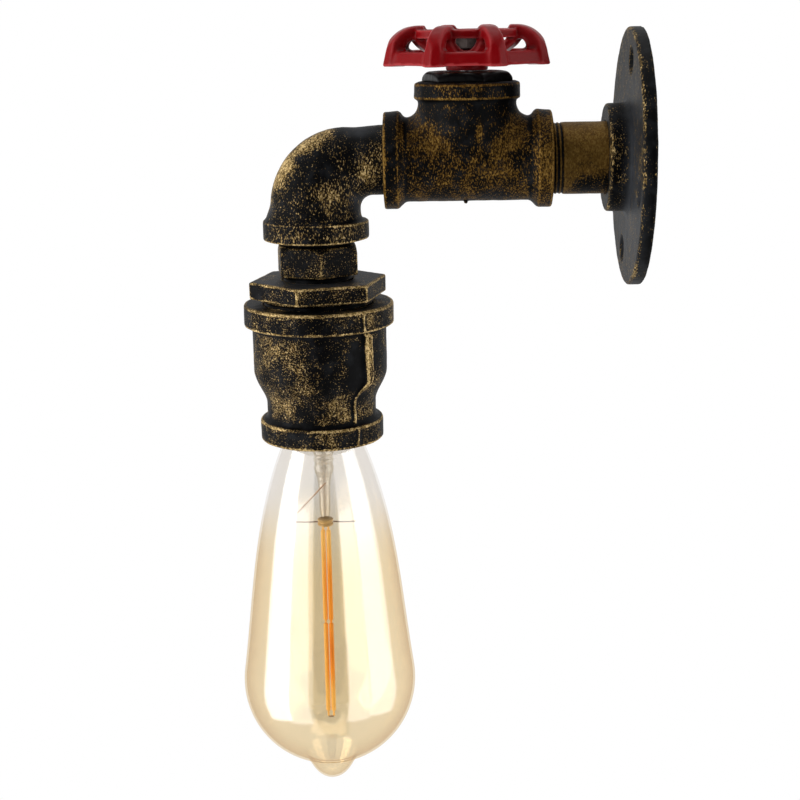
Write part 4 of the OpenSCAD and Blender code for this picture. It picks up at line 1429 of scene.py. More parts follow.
@dataclass
class Handwheel:
    """Cast wheel: faceted rim, arched ribs, crown ring and arms to the boss, in millimetres.

    A soft size rounds an outer edge and a fillet fills an inner one.
    """

    rib_count: float = 8.0
    rib_turn: float = 20.0
    rib_w: float = 6.0
    corner_r: float = 32.2
    rim_h: float = 4.8
    rim_flare: float = 1.7
    rim_wall: float = 4.2
    crown_r: float = 19.4
    crown_w: float = 3.8
    crown_t: float = 3.0
    crown_drop: float = 1.5
    rib_t: float = 4.2
    arch_power: float = 2.1
    rib_foot: float = 6.2
    rib_slant: float = 0.45
    boss_r: float = 7.8
    boss_h: float = 4.6
    arm_deep: float = 9.6
    arm_w: float = 6.4
    rim_z: float = 35.2
    stem_r: float = 3.04
    stem_end_r: float = 2.54
    shoulder: float = 34.8
    margin: float = 2.5
    rim_soft: float = 1.6
    rim_wall_soft: float = 1.2
    rib_soft: float = 2.4
    rib_slant_soft: float = 0.9
    rib_window_soft: float = 1.2
    rib_crown_soft: float = 1.0
    rib_foot_soft: float = 0.6
    rib_lift: float = 0.3
    rib_fillet: float = 3.2
    crown_soft: float = 0.9
    arm_soft: float = 1.4
    arm_bowl_soft: float = 0.8
    arm_top_soft: float = 0.6
    arm_fillet: float = 1.2
    boss_fillet: float = 1.6
    crown_fillet: float = 1.6
    bore_soft: float = 0.2

    def build(self) -> None:
        """Shapes the wheel by folding the space round its axis into one rib's share."""
        box = Extent.of("handwheel")
        clay = Clay("handwheel_shape")
        corner_r, height, count, rib_w = clay.sizes(
            corner_radius=self.corner_r, height=box.high.z - self.rim_z,
            rib_count=self.rib_count, rib_width=self.rib_w)
        rim_h, flare, wall, crown_r = clay.sizes(
            rim_height=self.rim_h, rim_flare=self.rim_flare, rim_wall=self.rim_wall,
            crown_radius=self.crown_r)
        level = clay.z - self.rim_z
        radial, angle = clay.polar(clay.y - box.centre.y, clay.x)
        turned = angle - math.radians(self.rib_turn)
        at_rib = clay.fold(turned, count)
        at_facet = clay.fold(turned + FULL_TURN / self.rib_count / 2, count)
        out = radial * at_rib.math("COSINE")
        aside = abs(radial * at_rib.math("SINE"))
        apothem = corner_r * math.cos(math.pi / self.rib_count)
        facet, slant = radial * at_facet.math("COSINE") - apothem, level / rim_h * flare
        rim = clay.meet(facet + slant, (apothem - flare - wall) - radial, self.rim_wall_soft)
        rim = clay.meet(rim, clay.slab(level, 0.0, rim_h), self.rim_soft)
        rib = self.rib(clay, out, level, corner_r, height, crown_r)
        rib = clay.meet(rib, aside - rib_w * 0.5, self.rib_soft)
        rib = clay.meet(rib, facet + slant * self.rib_slant, self.rib_slant_soft)
        crown_top = height - self.crown_drop
        crown = clay.meet(
            clay.slab(radial, crown_r - self.crown_w / 2, crown_r + self.crown_w / 2),
            clay.slab(level, crown_top - self.crown_t, crown_top), self.crown_soft)
        boss = clay.drum(radial, clay.z, self.boss_r, box.low.z, self.rim_z + self.boss_h, 1.0)
        arm = self.arm(clay, out, level, height, crown_r)
        arm = clay.meet(arm, aside - self.arm_w / 2, self.arm_soft)
        wheel = clay.join(clay.join(crown, arm, self.arm_fillet), boss, self.boss_fillet)
        wheel = clay.join(clay.join(rim, rib, self.rib_fillet), wheel, self.crown_fillet)
        wheel = clay.cut(wheel, radial - self.stem_end_r, self.bore_soft)
        bore = clay.meet(radial - self.stem_r, clay.z - self.shoulder, self.bore_soft)
        wheel = clay.cut(wheel, bore, self.bore_soft)
        grain = Grain(voxel=0.38, lump_height=0.10, lump_size=6.0, pit_height=0.02, edge_passes=10)
        clay.casting("handwheel", wheel, Enamel("red_enamel"), grain, Body.WHEEL, Slot.RED,
                     self.margin)

    def arch(self, out: Value, up: Value) -> Value:
        """A measure that is 1 on a rounded arch of width and height 1, and less under it."""
        powers = out.math("POWER", self.arch_power) + up.math("POWER", self.arch_power)
        return powers.math("POWER", 1 / self.arch_power)

    def rib(self, clay: Clay, out: Value, level: Value, corner_r: Value, height: Value,
            crown_r: Value) -> Value:
        """Shapes one arched rib in its own plane: a rounded outer line and the window under it.

        Args:
            clay: the tree that is worked on.
            out: distance from the axis in the rib's plane.
            level: height above the foot of the rim.
            corner_r: distance of the rim's corners from the axis.
            height: the wheel's height.
            crown_r: radius of the crown ring.

        Returns:
            The rib's field, before it gets its width.
        """
        reach, up = (out - crown_r).math("MAXIMUM", 0.0), level.math("MAXIMUM", 0.0)
        width = corner_r - crown_r
        outer = (self.arch(reach / width, up / height) - 1.0) * width
        inner_width = width - self.rib_foot
        inner = (1.0 - self.arch(reach / inner_width, up / (height - self.rib_t))) * inner_width
        rib = clay.meet(outer, inner, self.rib_window_soft)
        rib = clay.meet(rib, (crown_r - self.crown_w / 2) - out, self.rib_crown_soft)
        return clay.meet(rib, self.rib_lift - level, self.rib_foot_soft)

    def arm(self, clay: Clay, out: Value, level: Value, height: Value, crown_r: Value) -> Value:
        """Shapes one arm in its rib's plane, between two bowls from the crown into the boss.

        Args:
            clay: the tree that is worked on.
            out: distance from the axis in the rib's plane.
            level: height above the foot of the rim.
            height: the wheel's height.
            crown_r: radius of the crown ring.

        Returns:
            The arm's field, before it gets its width.
        """
        start = height - (self.crown_drop + self.crown_t / 2)
        down = (start - level).math("MAXIMUM", 0.0)
        low_reach, top_reach = crown_r + self.crown_w / 2, crown_r - self.crown_w / 2
        share = (self.boss_r / top_reach).math("ARCCOSINE").math("SINE")
        top_deep = (start - self.boss_h) / share
        under = (clay.length(out / low_reach, down / self.arm_deep) - 1.0) * self.arm_deep
        above = (1.0 - clay.length(out / top_reach, down / top_deep)) * top_deep
        arm = clay.meet(under, above, self.arm_bowl_soft)
        return clay.meet(arm, level - start, self.arm_top_soft)


@dataclass
class DropGroup(Fitting):
    """Street elbow, hex nipple, reducing bush and lamp cup, in millimetres."""

    throat: float = 4.7
    bend: float = 14.4
    start_r: float = 12.6
    leg_r: float = 17.0
    band_h: float = 6.6
    leg_flare: float = 1.9
    flare_h: float = 8.0
    male_fillet: float = 0.8
    band_fillet: float = 4.0
    nut_soft: float = 0.7
    nut_fillet: float = 0.6
    hex_af: float = 29.0
    hex_turn: float = 8.7
    hex_h: float = 11.3
    hex_gap: float = 2.2
    hex_cut: float = 2.6
    hex_cut_soft: float = 0.6
    bush_af: float = 46.4
    bush_turn: float = -13.4
    bush_h: float = 6.6
    bush_thread_r: float = 20.95
    cup_band_r: float = 28.7
    cup_band_h: float = 8.3
    cup_body_r: float = 25.7
    cup_body_h: float = 17.6
    cup_taper_h: float = 13.0
    cup_neck_r: float = 21.1
    cup_foot_r: float = 23.8
    cup_foot_h: float = 8.0
    cup_bore_r: float = 19.0
    cup_step: float = 10.9
    cup_play: float = 0.1
    cup_soft: float = 1.1
    cup_band_fillet: float = 2.2
    cup_foot_fillet: float = 3.4
    seam_turn: float = 39.0
    seam_bulge: float = 7.5
    seam_proud: float = 2.2
    seam_thin: float = 0.7
    seam_half: float = 0.55
    seam_widens: float = 1.1
    band_seam: float = 0.45
    foot_seam: float = 0.4
    foot_seam_half: float = 0.5
    seam_wave: float = 1.6
    seam_wave_size: float = 9.0
    seam_soft: float = 0.7
    seam_end_soft: float = 0.6
    seam_fillet: float = 0.9
    thread_pitch: float = 1.8
    thread_depth: float = 0.7

    @property
    def drop_at(self) -> float:
        """Distance of the drop's axis from the wall."""
        return -Extent.of("hex_nipple").centre.y

    def bent(self, clay: Clay, out: Value, centre: Vector) -> tuple[Value, Value]:
        """How far a point lies outside a quarter arc's centre, along legs that go on straight.

        Args:
            clay: the tree that is worked on.
            out: distance from the drop's axis towards the wall.
            centre: the arc's centre in that distance and in height.

        Returns:
            The distance from the centre, and how far round the bend it is, from 0 to 1.
        """
        quarter, least, soft = math.pi / 2, 0.02, 3.0
        aside, above = centre.x - out, clay.z - centre.y
        legs = [clay.meet(leg, 0.0, soft) + least for leg in (aside, above)]
        turn = clay.math("ARCTAN2", *legs)
        away = aside * turn.math("SINE") + above * turn.math("COSINE")
        return away, turn / quarter

    def elbow(self) -> None:
        """Shapes the street elbow, from its male end to the band over the drop."""
        box = Extent.of("street_elbow")
        clay = Clay("elbow_shape")
        start_r, leg_r, band_r, throat = clay.sizes(
            start_radius=self.start_r, leg_radius=self.leg_r, band_radius=box.high.x,
            throat_radius=self.throat)
        out = clay.y + self.drop_at
        tee_face = self.drop_at + Extent.of("tee").low.y
        band_top = box.low.z + self.band_h
        outer, turn = self.bent(clay, out, Vector((self.bend, -self.bend)))
        throat_at = Vector((self.leg_r + self.throat, -self.start_r - self.throat))
        inner, _ = self.bent(clay, out, throat_at)
        swell = start_r + (leg_r - start_r) * turn
        swell = swell + self.leg_flare * clay.z.rise(band_top + self.flare_h, band_top)
        swell = swell + (self.pipe_r - self.start_r) * out.rise(self.bend, tee_face)
        depth = self.bend + swell - outer
        rise = inner - throat
        half = ((depth + rise) * 0.5).math("MAXIMUM", 1.0)
        tube = (clay.length((rise - depth) * 0.5 / half, clay.x / swell) - 1.0) * swell
        tube = clay.meet(tube, (box.low.z + 1.0) - clay.z, 0.5)
        tube = clay.meet(tube, out - (tee_face + 4.0), 0.5)
        level = clay.length(clay.x, clay.z)
        upright = clay.length(clay.x, out)
        male_end = box.high.y + self.drop_at
        male = clay.drum(level, out, self.pipe_r, tee_face + 1.0, male_end, self.pipe_soft)
        band = clay.drum(upright, clay.z, band_r, box.low.z, band_top, 1.0)
        body = clay.join(clay.join(tube, male, self.male_fillet), band, self.band_fillet)
        body = clay.cut(body, clay.length(outer - self.bend, clay.x) - self.bore_r)
        body = clay.hollow(body, upright, self.socket_r, clay.z - (box.low.z + self.socket_depth))
        at = -self.drop_at
        # Its sheen blots paint grey sheen on the top, the throat and the lower left.
        finish = AntiqueIron("antique_elbow", cover=0.26, blots=(
            ((6.0, at - 13.6, -6.0), (11.0, 7.0, 6.5), 0.60),
            ((6.0, at - 9.8, 0.6), (11.0, 7.5, 7.5), 0.80),
            ((6.0, at - 3.6, 7.4), (11.0, 7.5, 7.5), 0.80),
            ((6.0, at + 3.9, 11.6), (11.0, 7.5, 6.0), 0.60),
            ((14.0, at + 7.0, -13.0), (12.0, 8.0, 7.0), 0.30),
            ((12.0, at + 19.0, -3.0), (10.0, 6.0, 6.0), 0.40),
            ((15.0, at + 3.0, 0.0), (10.0, 9.0, 9.0), -0.40),
            ((5.0, at + 17.0, 12.0), (16.0, 12.0, 6.0), -0.45),
            ((0.0, at - 16.0, -20.0), (20.0, 8.0, 6.0), -0.34),
            ((16.0, at + 2.0, -25.5), (14.0, 24.0, 4.6), 0.30),
        ), painted_sheens=(
            ((4.0, at + 17.0, 12.5), (12.0, 8.0, 5.0), 0.7),
            ((8.0, at + 16.0, -14.0), (9.0, 6.0, 5.0), 0.6),
            ((4.0, at - 16.0, -17.0), (10.0, 5.0, 6.0), 0.6),
        ))
        clay.casting("street_elbow", body, finish, Grain())

    def threaded(self, clay: Clay, radial: Value, angle: Value, radius: Value, low: float,
                 high: float) -> Value:
        """Shapes an upright pipe with a right-handed thread along it.

        Args:
            clay: the tree that is worked on.
            radial: distance from the drop's axis.
            angle: angle round that axis.
            radius: outer radius of the thread.
            low: the pipe's lower end.
            high: its upper end.

        Returns:
            The pipe's field.
        """
        wave = clay.helix(clay.z, angle, self.thread_pitch)
        groove = (wave * 0.5 + 0.5) * self.thread_depth
        return clay.drum(radial + groove, clay.z, radius, low, high, self.pipe_soft)

    def hex_nipple(self) -> None:
        """Shapes the hexagon nipple with bare thread above and below its hexagon."""
        box = Extent.of("hex_nipple")
        clay = Clay("hex_nipple_shape")
        flats, hex_h, pipe_r = clay.sizes(
            across_flats=self.hex_af, hexagon_height=self.hex_h, pipe_radius=self.pipe_r)
        radial, angle = clay.polar(clay.y + self.drop_at, clay.x)
        top = Extent.of("street_elbow").low.z - self.hex_gap
        nut = clay.hexagon(radial, angle, flats, math.radians(self.hex_turn))
        nut = clay.meet(nut, clay.slab(clay.z, top - hex_h, top), self.nut_soft)
        cone = clay.turned(radial, flats, self.hex_af, top - clay.z, self.hex_cut)
        nut = clay.meet(nut, cone, self.hex_cut_soft)
        pipe = self.threaded(clay, radial, angle, pipe_r, box.low.z, box.high.z)
        body = clay.cut(clay.join(pipe, nut, self.nut_fillet), radial - self.bore_r)
        at = -self.drop_at
        finish = AntiqueIron("antique_hexagon", cover=0.24, edge_gold=0.38, stroke=EVEN, blots=(
            ((0.0, at, top + 1.6), (40.0, 40.0, 2.6), -0.8),
            ((0.0, at, top - self.hex_h - 1.4), (40.0, 40.0, 2.0), -0.8),
        ))
        clay.casting("hex_nipple", body, finish, Grain(lump_height=0.1))

    def bush(self) -> None:
        """Shapes the reducing bush: a low wide hexagon over its thread."""
        box = Extent.of("reducing_bush")
        clay = Clay("bush_shape")
        flats, bush_h, thread_r = clay.sizes(
            across_flats=self.bush_af, hexagon_height=self.bush_h, thread_radius=self.bush_thread_r)
        radial, angle = clay.polar(clay.y + self.drop_at, clay.x)
        top = box.high.z
        nut = clay.hexagon(radial, angle, flats, math.radians(self.bush_turn))
        nut = clay.meet(nut, clay.slab(clay.z, top - bush_h, top), self.nut_soft)
        pipe = self.threaded(clay, radial, angle, thread_r, box.low.z, top - 1.0)
        body = clay.join(pipe, nut, self.nut_fillet)
        body = clay.cut(body, radial - (self.bore_r + 1.0))
        body = clay.hollow(body, radial, self.socket_r, (top - self.socket_depth) - clay.z)
        at = -self.drop_at
        # The sheen blot paints a grey sheen over the top face.
        finish = AntiqueIron("antique_bush", cover=0.18, stroke=EVEN, blots=(
            ((0.0, at, top + 0.6), (60.0, 60.0, 1.2), -0.4),
            ((0.0, at, top - self.bush_h - 2.0), (60.0, 60.0, 2.4), -0.9),
            ((26.0, at - 4.5, top - 3.0), (6.0, 5.0, 6.0), 0.45),
            ((12.0, at - 21.0, top - 3.0), (12.0, 12.0, 6.0), -0.14),
        ), painted_sheens=(((0.0, at, top + 0.6), (60.0, 60.0, 1.4), 0.9),))
        clay.casting("reducing_bush", body, finish, Grain(voxel=0.46, lump_height=0.12))

    def cup(self) -> None:
        """Shapes the lamp cup with its bands, taper and mould seam."""
        box = Extent.of("lamp_cup")
        clay = Clay("cup_shape")
        top, bottom = box.high.z, box.low.z
        band_r, body_r, neck_r, foot_r = clay.sizes(
            band_radius=self.cup_band_r, body_radius=self.cup_body_r,
            neck_radius=self.cup_neck_r, foot_radius=self.cup_foot_r)
        radial, angle = clay.polar(clay.y + self.drop_at, clay.x)
        shoulder = top - self.cup_band_h - self.cup_body_h
        side = body_r + (neck_r - body_r) * clay.z.rise(shoulder, shoulder - self.cup_taper_h)
        body = clay.meet(radial - side, clay.slab(clay.z, bottom + 2.0, top - 2.0), 1.0)
        band = clay.drum(radial, clay.z, band_r, top - self.cup_band_h, top, self.cup_soft)
        foot_top = bottom + self.cup_foot_h
        foot = clay.drum(radial, clay.z, foot_r, bottom, foot_top, self.cup_soft)
        body = clay.join(body, band, self.cup_band_fillet)
        body = clay.join(body, foot, self.cup_foot_fillet)
        body = clay.join(body, self.seam(clay, radial, angle, side, top), self.seam_fillet)
        body = clay.cut(body, radial - self.cup_bore_r, self.mouth_soft)
        step_z, step_r = top - self.cup_step, self.bush_thread_r + self.cup_play
        body = clay.hollow(body, radial, step_r, step_z - clay.z, self.mouth_soft)
        at = -self.drop_at
        finish = AntiqueIron("antique_cup", cover=0.24, patch=1.5, stroke=EVEN, blots=(
            ((20.5, at + 14.6, -70.5), (7.5, 4.8, 8.5), -1.2),
            ((20.5, at + 14.6, -79.0), (7.5, 4.8, 8.0), -1.2),
            ((15.0, at - 18.0, -72.0), (18.0, 13.0, 15.0), 0.22),
            ((16.0, at - 13.0, -94.0), (16.0, 10.0, 8.0), 0.26),
            ((17.0, at + 11.0, -95.0), (14.0, 9.0, 8.0), 0.22),
            ((25.0, at + 2.0, -72.0), (9.0, 10.0, 19.0), -0.40),
            ((18.6, at + 19.8, -73.0), (3.4, 2.8, 14.0), 0.75),
            ((0.0, at, top + 0.8), (70.0, 70.0, 1.6), -0.5),
        ))
        clay.casting("lamp_cup", body, finish, Grain(voxel=0.5))

    def seam(self, clay: Clay, radial: Value, angle: Value, side: Value, top: float) -> Value:
        """Raises the mould seam on two sides, broad on the body and thin on the bands.

        Args:
            clay: the tree that is worked on.
            radial: distance from the drop's axis.
            angle: angle round that axis.
            side: radius of the cup's side.
            top: height of the cup's top.

        Returns:
            The seam's field.
        """
        wobble = (clay.noise(clay.place, self.seam_wave_size, 1.0) - 0.5) * self.seam_wave
        under_band = top - self.cup_band_h
        shoulder = under_band - self.cup_body_h
        broad = clay.z.rise(under_band + 1.5, under_band - 2.0)
        broad = broad * clay.z.rise(shoulder - 8.5, shoulder - 1.0)
        turn = broad * math.radians(self.seam_bulge) + math.radians(self.seam_turn)
        off = abs(clay.fold(angle - turn, 2.0) * radial + wobble)
        proud = side + self.seam_thin + broad * (self.seam_proud - self.seam_thin)
        half = self.seam_half + broad * self.seam_widens
        ridge = clay.meet(off - half, radial - proud, self.seam_soft)
        over_band = radial - (self.cup_band_r + self.band_seam)
        on_band = clay.meet(off - self.seam_half, over_band, self.seam_soft)
        band_span = clay.slab(clay.z, under_band + 0.4, top - 0.6)
        on_band = clay.meet(on_band, band_span, self.seam_end_soft)
        over_foot = radial - (self.cup_foot_r + self.foot_seam)
        on_foot = clay.meet(off - self.foot_seam_half, over_foot, self.seam_soft)
        bottom = Extent.of("lamp_cup").low.z
        foot_span = clay.slab(clay.z, bottom + 0.6, bottom + self.cup_foot_h)
        on_foot = clay.meet(on_foot, foot_span, self.seam_end_soft)
        ridge = clay.meet(ridge, clay.slab(clay.z, bottom + 2.0, top - 2.0), 0.5)
        return ridge.math("MINIMUM", on_band).math("MINIMUM", on_foot)

    def build(self) -> None:
        """Builds the four fittings."""
        self.elbow()
        self.hex_nipple()
        self.bush()
        self.cup()


def mix(a: float, b: float, share: float) -> float:
    """The number at a share of the way from a to b."""
    return a + (b - a) * share


def bezier(ends: list[Vector], t: float) -> Pair:
    """Finds a point on a cubic curve.

    Args:
        ends: the curve's two ends, with its handles between them.
        t: how far along the curve, from 0 to 1.

    Returns:
        The point.
    """
    weights = ((1 - t) ** 3, 3 * t * (1 - t) ** 2, 3 * t * t * (1 - t), t ** 3)
    point = sum((w * e for w, e in zip(weights, ends)), Vector((0.0, 0.0)))
    return point.x, point.y


def lathe(name: str, outline: list[Pair], axis_y: float, steps: int) -> bpy.types.Mesh:
    """Turns a closed outline round an upright axis.

    Args:
        name: the mesh's name.
        outline: points of radius and height in millimetres, anticlockwise.
        axis_y: where the axis stands.
        steps: how many sides the turn has.

    Returns:
        The new mesh.
    """
    turns = [k * FULL_TURN / steps for k in range(steps)]
    points, rows = [], []
    for radius, height in outline:
        if radius < 1e-6:
            rows.append([len(points)] * steps)
            points.append((0.0, axis_y * MM, height * MM))
        else:
            reach = radius * MM
            rows.append(list(range(len(points), len(points) + steps)))
            points += [(reach * math.cos(t), axis_y * MM + reach * math.sin(t), height * MM)
                       for t in turns]
    faces = []
    for low, high in zip(rows, rows[1:] + rows[:1]):
        for k in range(steps):
            ring = [low[k], low[(k + 1) % steps], high[(k + 1) % steps], high[k]]
            face = list(dict.fromkeys(ring))
            if len(face) > 2:
                faces.append(face)
    mesh = bpy.data.meshes.new(name)
    mesh.from_pydata(points, [], faces)
    mesh.polygons.foreach_set("use_smooth", [True] * len(mesh.polygons))
    return mesh


def rounded(points: list[Pair], passes: int) -> list[Pair]:
    """Cuts the corners of an open line a few times over, so that it runs smoothly.

    Args:
        points: the line.
        passes: how often its corners are cut.

    Returns:
        The smooth line, with its ends where they were.
    """
    for _ in range(passes):
        cut = [(mix(a[0], b[0], s), mix(a[1], b[1], s))
               for a, b in zip(points, points[1:]) for s in (0.25, 0.75)]
        points = [points[0], *cut, points[-1]]
    return points


@dataclass
class Bulb:
    """Pear-shaped bulb with its stem, filaments and screw cap, in millimetres."""

    neck_r: float = 13.3
    neck_pull: Pair = (0.152, 0.33)
    bowl: float = 34.5
    bowl_pull: Pair = (0.05, 0.34)
    pip_h: float = 9.5
    pip_pull: Pair = (0.74, 0.3)
    pip_tip: float = 0.62
    wall: float = 0.8
    lean: float = 8.0
    pip_lean: float = 70.0
    side_steps: int = 48
    bowl_steps: int = 36
    pip_steps: int = 14
    sides: int = 160
    small_sides: int = 48
    cap_sides: int = 96
    foot_r: float = 12.4
    foot_h: float = 1.0
    flare_from: float = 7.6
    flare_mid: float = 3.8
    flare_swell: float = 1.5
    stem_r: float = 3.8
    bead: float = 0.5
    beads: int = 5
    bead_from: float = 5.0
    bead_pitch: float = 1.6
    stem_end: float = 21.0
    rod_r: float = 2.2
    clamp_r: float = 3.1
    clamp_h: float = 3.0
    clamp_waist: float = 0.4
    clamp_lip: Pair = (1.0, 1.2)
    wire_r: float = 0.3
    cross_sag: float = 0.25
    lead_x: float = 2.8
    lead_from: float = 0.6
    lead_reach: float = 0.9
    lead_drop: float = 12.8
    lead_sag: float = 0.2
    stick_r: float = 0.9
    tag_r: float = 0.4
    tag_len: float = 2.05
    stick_gap: float = 1.435
    column_gap: float = 2.2
    cap_r: float = 13.1
    cap_lip: float = 1.5
    cap_wall: float = 0.4
    cap_mouth: float = 9.9
    swell: float = 0.55
    pitch: float = 3.6
    thread: Pair = (3.0, 17.4)
    thread_rows: int = 60

    def outline(self, inset: float) -> list[Pair]:
        """Draws the glass from its neck down to the start of the pip.

        Args:
            inset: how far inside the outer skin the line runs.

        Returns:
            Points of radius and height.
        """
        box = Extent.of("bulb_glass")
        radius, neck, bowl = box.high.x - inset, self.neck_r - inset, self.bowl - inset
        bowl_z = box.low.z + self.pip_h + self.bowl
        lean = math.radians(self.lean)
        join = Vector((radius * math.cos(lean), bowl_z + bowl * math.sin(lean)))
        drop = box.high.z - join.y
        (out, down), (back, up) = self.neck_pull, self.bowl_pull
        ends = [Vector((neck, box.high.z)), Vector((neck + drop * out, box.high.z - drop * down)),
                Vector((join.x - drop * back, join.y + drop * up)), join]
        side = [bezier(ends, i / self.side_steps) for i in range(self.side_steps + 1)]
        last = math.radians(self.pip_lean)
        turns = [mix(-lean, last, i / self.bowl_steps) for i in range(1, self.bowl_steps + 1)]
        return side + [(radius * math.cos(a), bowl_z - bowl * math.sin(a)) for a in turns]

    def pip(self, inset: float) -> list[Pair]:
        """Draws the tip, hollowed a little where it leaves the bowl.

        Args:
            inset: how far inside the outer skin the line runs.

        Returns:
            Points of radius and height.
        """
        tip = Extent.of("bulb_glass").low.z + inset
        radius, height = self.outline(inset)[-1]
        share, down = self.pip_pull
        ends = [Vector((radius, height)), Vector((radius * share, height - (height - tip) * down)),
                Vector((radius * self.pip_tip, tip)), Vector((0.0, tip))]
        return [bezier(ends, i / self.pip_steps) for i in range(1, self.pip_steps + 1)]

    def glass(self) -> None:
        """Blows the glass as a closed shell."""
        box = Extent.of("bulb_glass")
        outer = self.outline(0.0) + self.pip(0.0)
        inner = self.outline(self.wall) + self.pip(self.wall)
        mesh = lathe("bulb_glass_blown", inner + outer[::-1], box.centre.y, self.sides)
        piece = new_piece(mesh.name, mesh, ThinGlass("amber").material())
        settle(piece, Body.BULB, Slot.AMBER, "bulb_glass")

    def stem(self) -> None:
        """Draws the glass stem with its seal, and puts the clamp on its rod."""
        box = Extent.of("glass_stem")
        top, low = box.high.z, box.low.z
        neck, rod_end, axis = top - self.stem_end, low + self.clamp_h, box.centre.y
        swells = [(self.stem_r + self.bead * (-1) ** k, neck + self.bead_from + k * self.bead_pitch)
                  for k in range(self.beads)]
        line = [(0.0, rod_end), (self.rod_r, rod_end), (self.rod_r, neck), *swells,
                (self.stem_r, top - self.flare_from),
                (self.stem_r * self.flare_swell, top - self.flare_mid),
                (self.foot_r, top - self.foot_h), (self.foot_r, top)]
        glass = ThinGlass("stem_glass", (0.95, 0.92, 0.85), (0.74, 0.68, 0.54), (0.93, 0.90, 0.83))
        drawn = [(0.0, top), *rounded(line, 3)]
        mesh = lathe("glass_stem_drawn", drawn, axis, self.small_sides)
        piece = new_piece(mesh.name, mesh, glass.material())
        settle(piece, Body.BULB, Slot.CLEAR, "glass_stem")
        r, waist, (lip, inner) = self.clamp_r, self.clamp_r - self.clamp_waist, self.clamp_lip
        band = [(0.0, low), (r, low), (r, low + lip), (waist, low + inner),
                (waist, rod_end - inner), (r, rod_end - lip), (r, rod_end), (0.0, rod_end)]
        mesh = lathe("stem_clamp", rounded(band, 2), axis, self.small_sides)
        gilt = Moulded("amber_clamp", (0.84, 0.58, 0.25), (0.74, 0.46, 0.16), 0.35)
        settle(new_piece(mesh.name, mesh, gilt.material()), Body.BULB, Slot.BRASS)

    def wires(self) -> None:
        """Bends the fine wires: the cross on the clamp, the slanting lead and the foot's tie."""
        box, stem = Extent.of("support_wires"), Extent.of("glass_stem")
        axis, cross_z = box.centre.y, stem.low.z + self.clamp_h / 2
        reach, neck = box.high.y - axis, stem.high.z - self.stem_end
        foot, half = box.low.z + self.wire_r, self.column_gap / 2
        clay = Clay("wire_shape")
        [radius] = clay.sizes(wire_radius=self.wire_r * MM)
        runs = [((0, axis + side * self.clamp_r, cross_z), (0, axis + side * reach, cross_z),
                 self.cross_sag) for side in (-1, 1)]
        runs.append(((self.lead_x, axis + self.lead_from, neck - self.lead_from),
                     (self.lead_x, axis - reach * self.lead_reach, neck - self.lead_drop),
                     self.lead_sag))
        runs.append(((0, axis - half, foot), (0, axis + half, foot), 0.0))
        bent = clay.gather([clay.strand(*run, radius) for run in runs])
        dull = Metal("brown_wire", (0.56, 0.38, 0.26), (0.38, 0.23, 0.15), 0.36)
        piece = clay.fire("support_wires_bent", bent, dull.material())
        settle(piece, Body.BULB, Slot.STEEL, "support_wires")

    def sticks(self) -> None:
        """Shapes the two columns of filament sticks with their end tags."""
        box = Extent.of("filament")
        axis, top, foot = box.centre.y, box.high.z, box.low.z + self.wire_r
        clay = Clay("filament_shape")
        stick_r, tag_r, gap = clay.sizes(
            stick_radius=self.stick_r, tag_radius=self.tag_r, column_gap=self.column_gap)
        radial = clay.length(clay.x, abs(clay.y - axis) - gap * 0.5)
        aside = abs(clay.z - (top + foot) / 2)
        end = (top - foot) / 2 - self.tag_len
        stick = clay.drum(radial, aside, stick_r, self.stick_gap / 2, end, 0.5)
        tags = clay.drum(radial, clay.z, tag_r, box.low.z, top, 0.1)
        grain = Grain(voxel=0.2, lump_size=2.0, lump_height=0.03, pit_height=0.01)
        mesh = clay.cast(clay.join(stick, tags, 0.3), box, grain)
        piece = clay.fire("filament_sticks", mesh, Phosphor("phosphor", axis).material())
        settle(piece, Body.BULB, Slot.FILAMENT, "filament")

    def cap(self) -> None:
        """Rolls the screw thread into a plain brass cap."""
        box = Extent.of("bulb_cap")
        low, top, axis, wall = box.low.z, box.high.z, box.centre.y, self.cap_wall
        start, end = (low + rise for rise in self.thread)
        rows = [start + (end - start) * k / self.thread_rows for k in range(self.thread_rows + 1)]
        side = [(self.cap_r, low + self.cap_lip), *((self.cap_r - self.swell, z) for z in rows)]
        inner = [(r - wall, z) for r, z in side]
        outline = [(self.cap_r - wall, low), (self.cap_r, low), *side, (self.cap_mouth, top),
                   (self.cap_mouth - wall, top - wall), *inner[::-1]]
        clay = Clay("cap_shape")
        blank = clay.blank(lathe("bulb_cap_blank", outline, axis, self.cap_sides))
        swell, pitch = clay.sizes(thread_swell=self.swell, thread_pitch=self.pitch)
        radial, angle = clay.polar(clay.y - axis, clay.x)
        wave = clay.helix(clay.z - start, angle, pitch) * swell
        fade = clay.z.rise(start - 0.1, start + 2.0), clay.z.rise(end + 0.1, end - 1.0)
        shift = wave * fade[0] * fade[1] / radial
        offset = clay.node("ShaderNodeCombineXYZ", inputs={
            "X": clay.x * shift * MM, "Y": (clay.y - axis) * shift * MM})
        rolled = clay.node("GeometryNodeSetPosition", inputs={"Geometry": blank, "Offset": offset})
        brass = Metal("rolled_brass", (0.70, 0.49, 0.19), (0.44, 0.29, 0.11), line=EVEN)
        piece = clay.fire("bulb_cap_rolled", rolled, brass.material())
        settle(piece, Body.BULB, Slot.BRASS, "bulb_cap")

    def build(self) -> None:
        """Builds the bulb's pieces."""
        self.glass()
        self.stem()
        self.wires()
        self.sticks()
        self.cap()


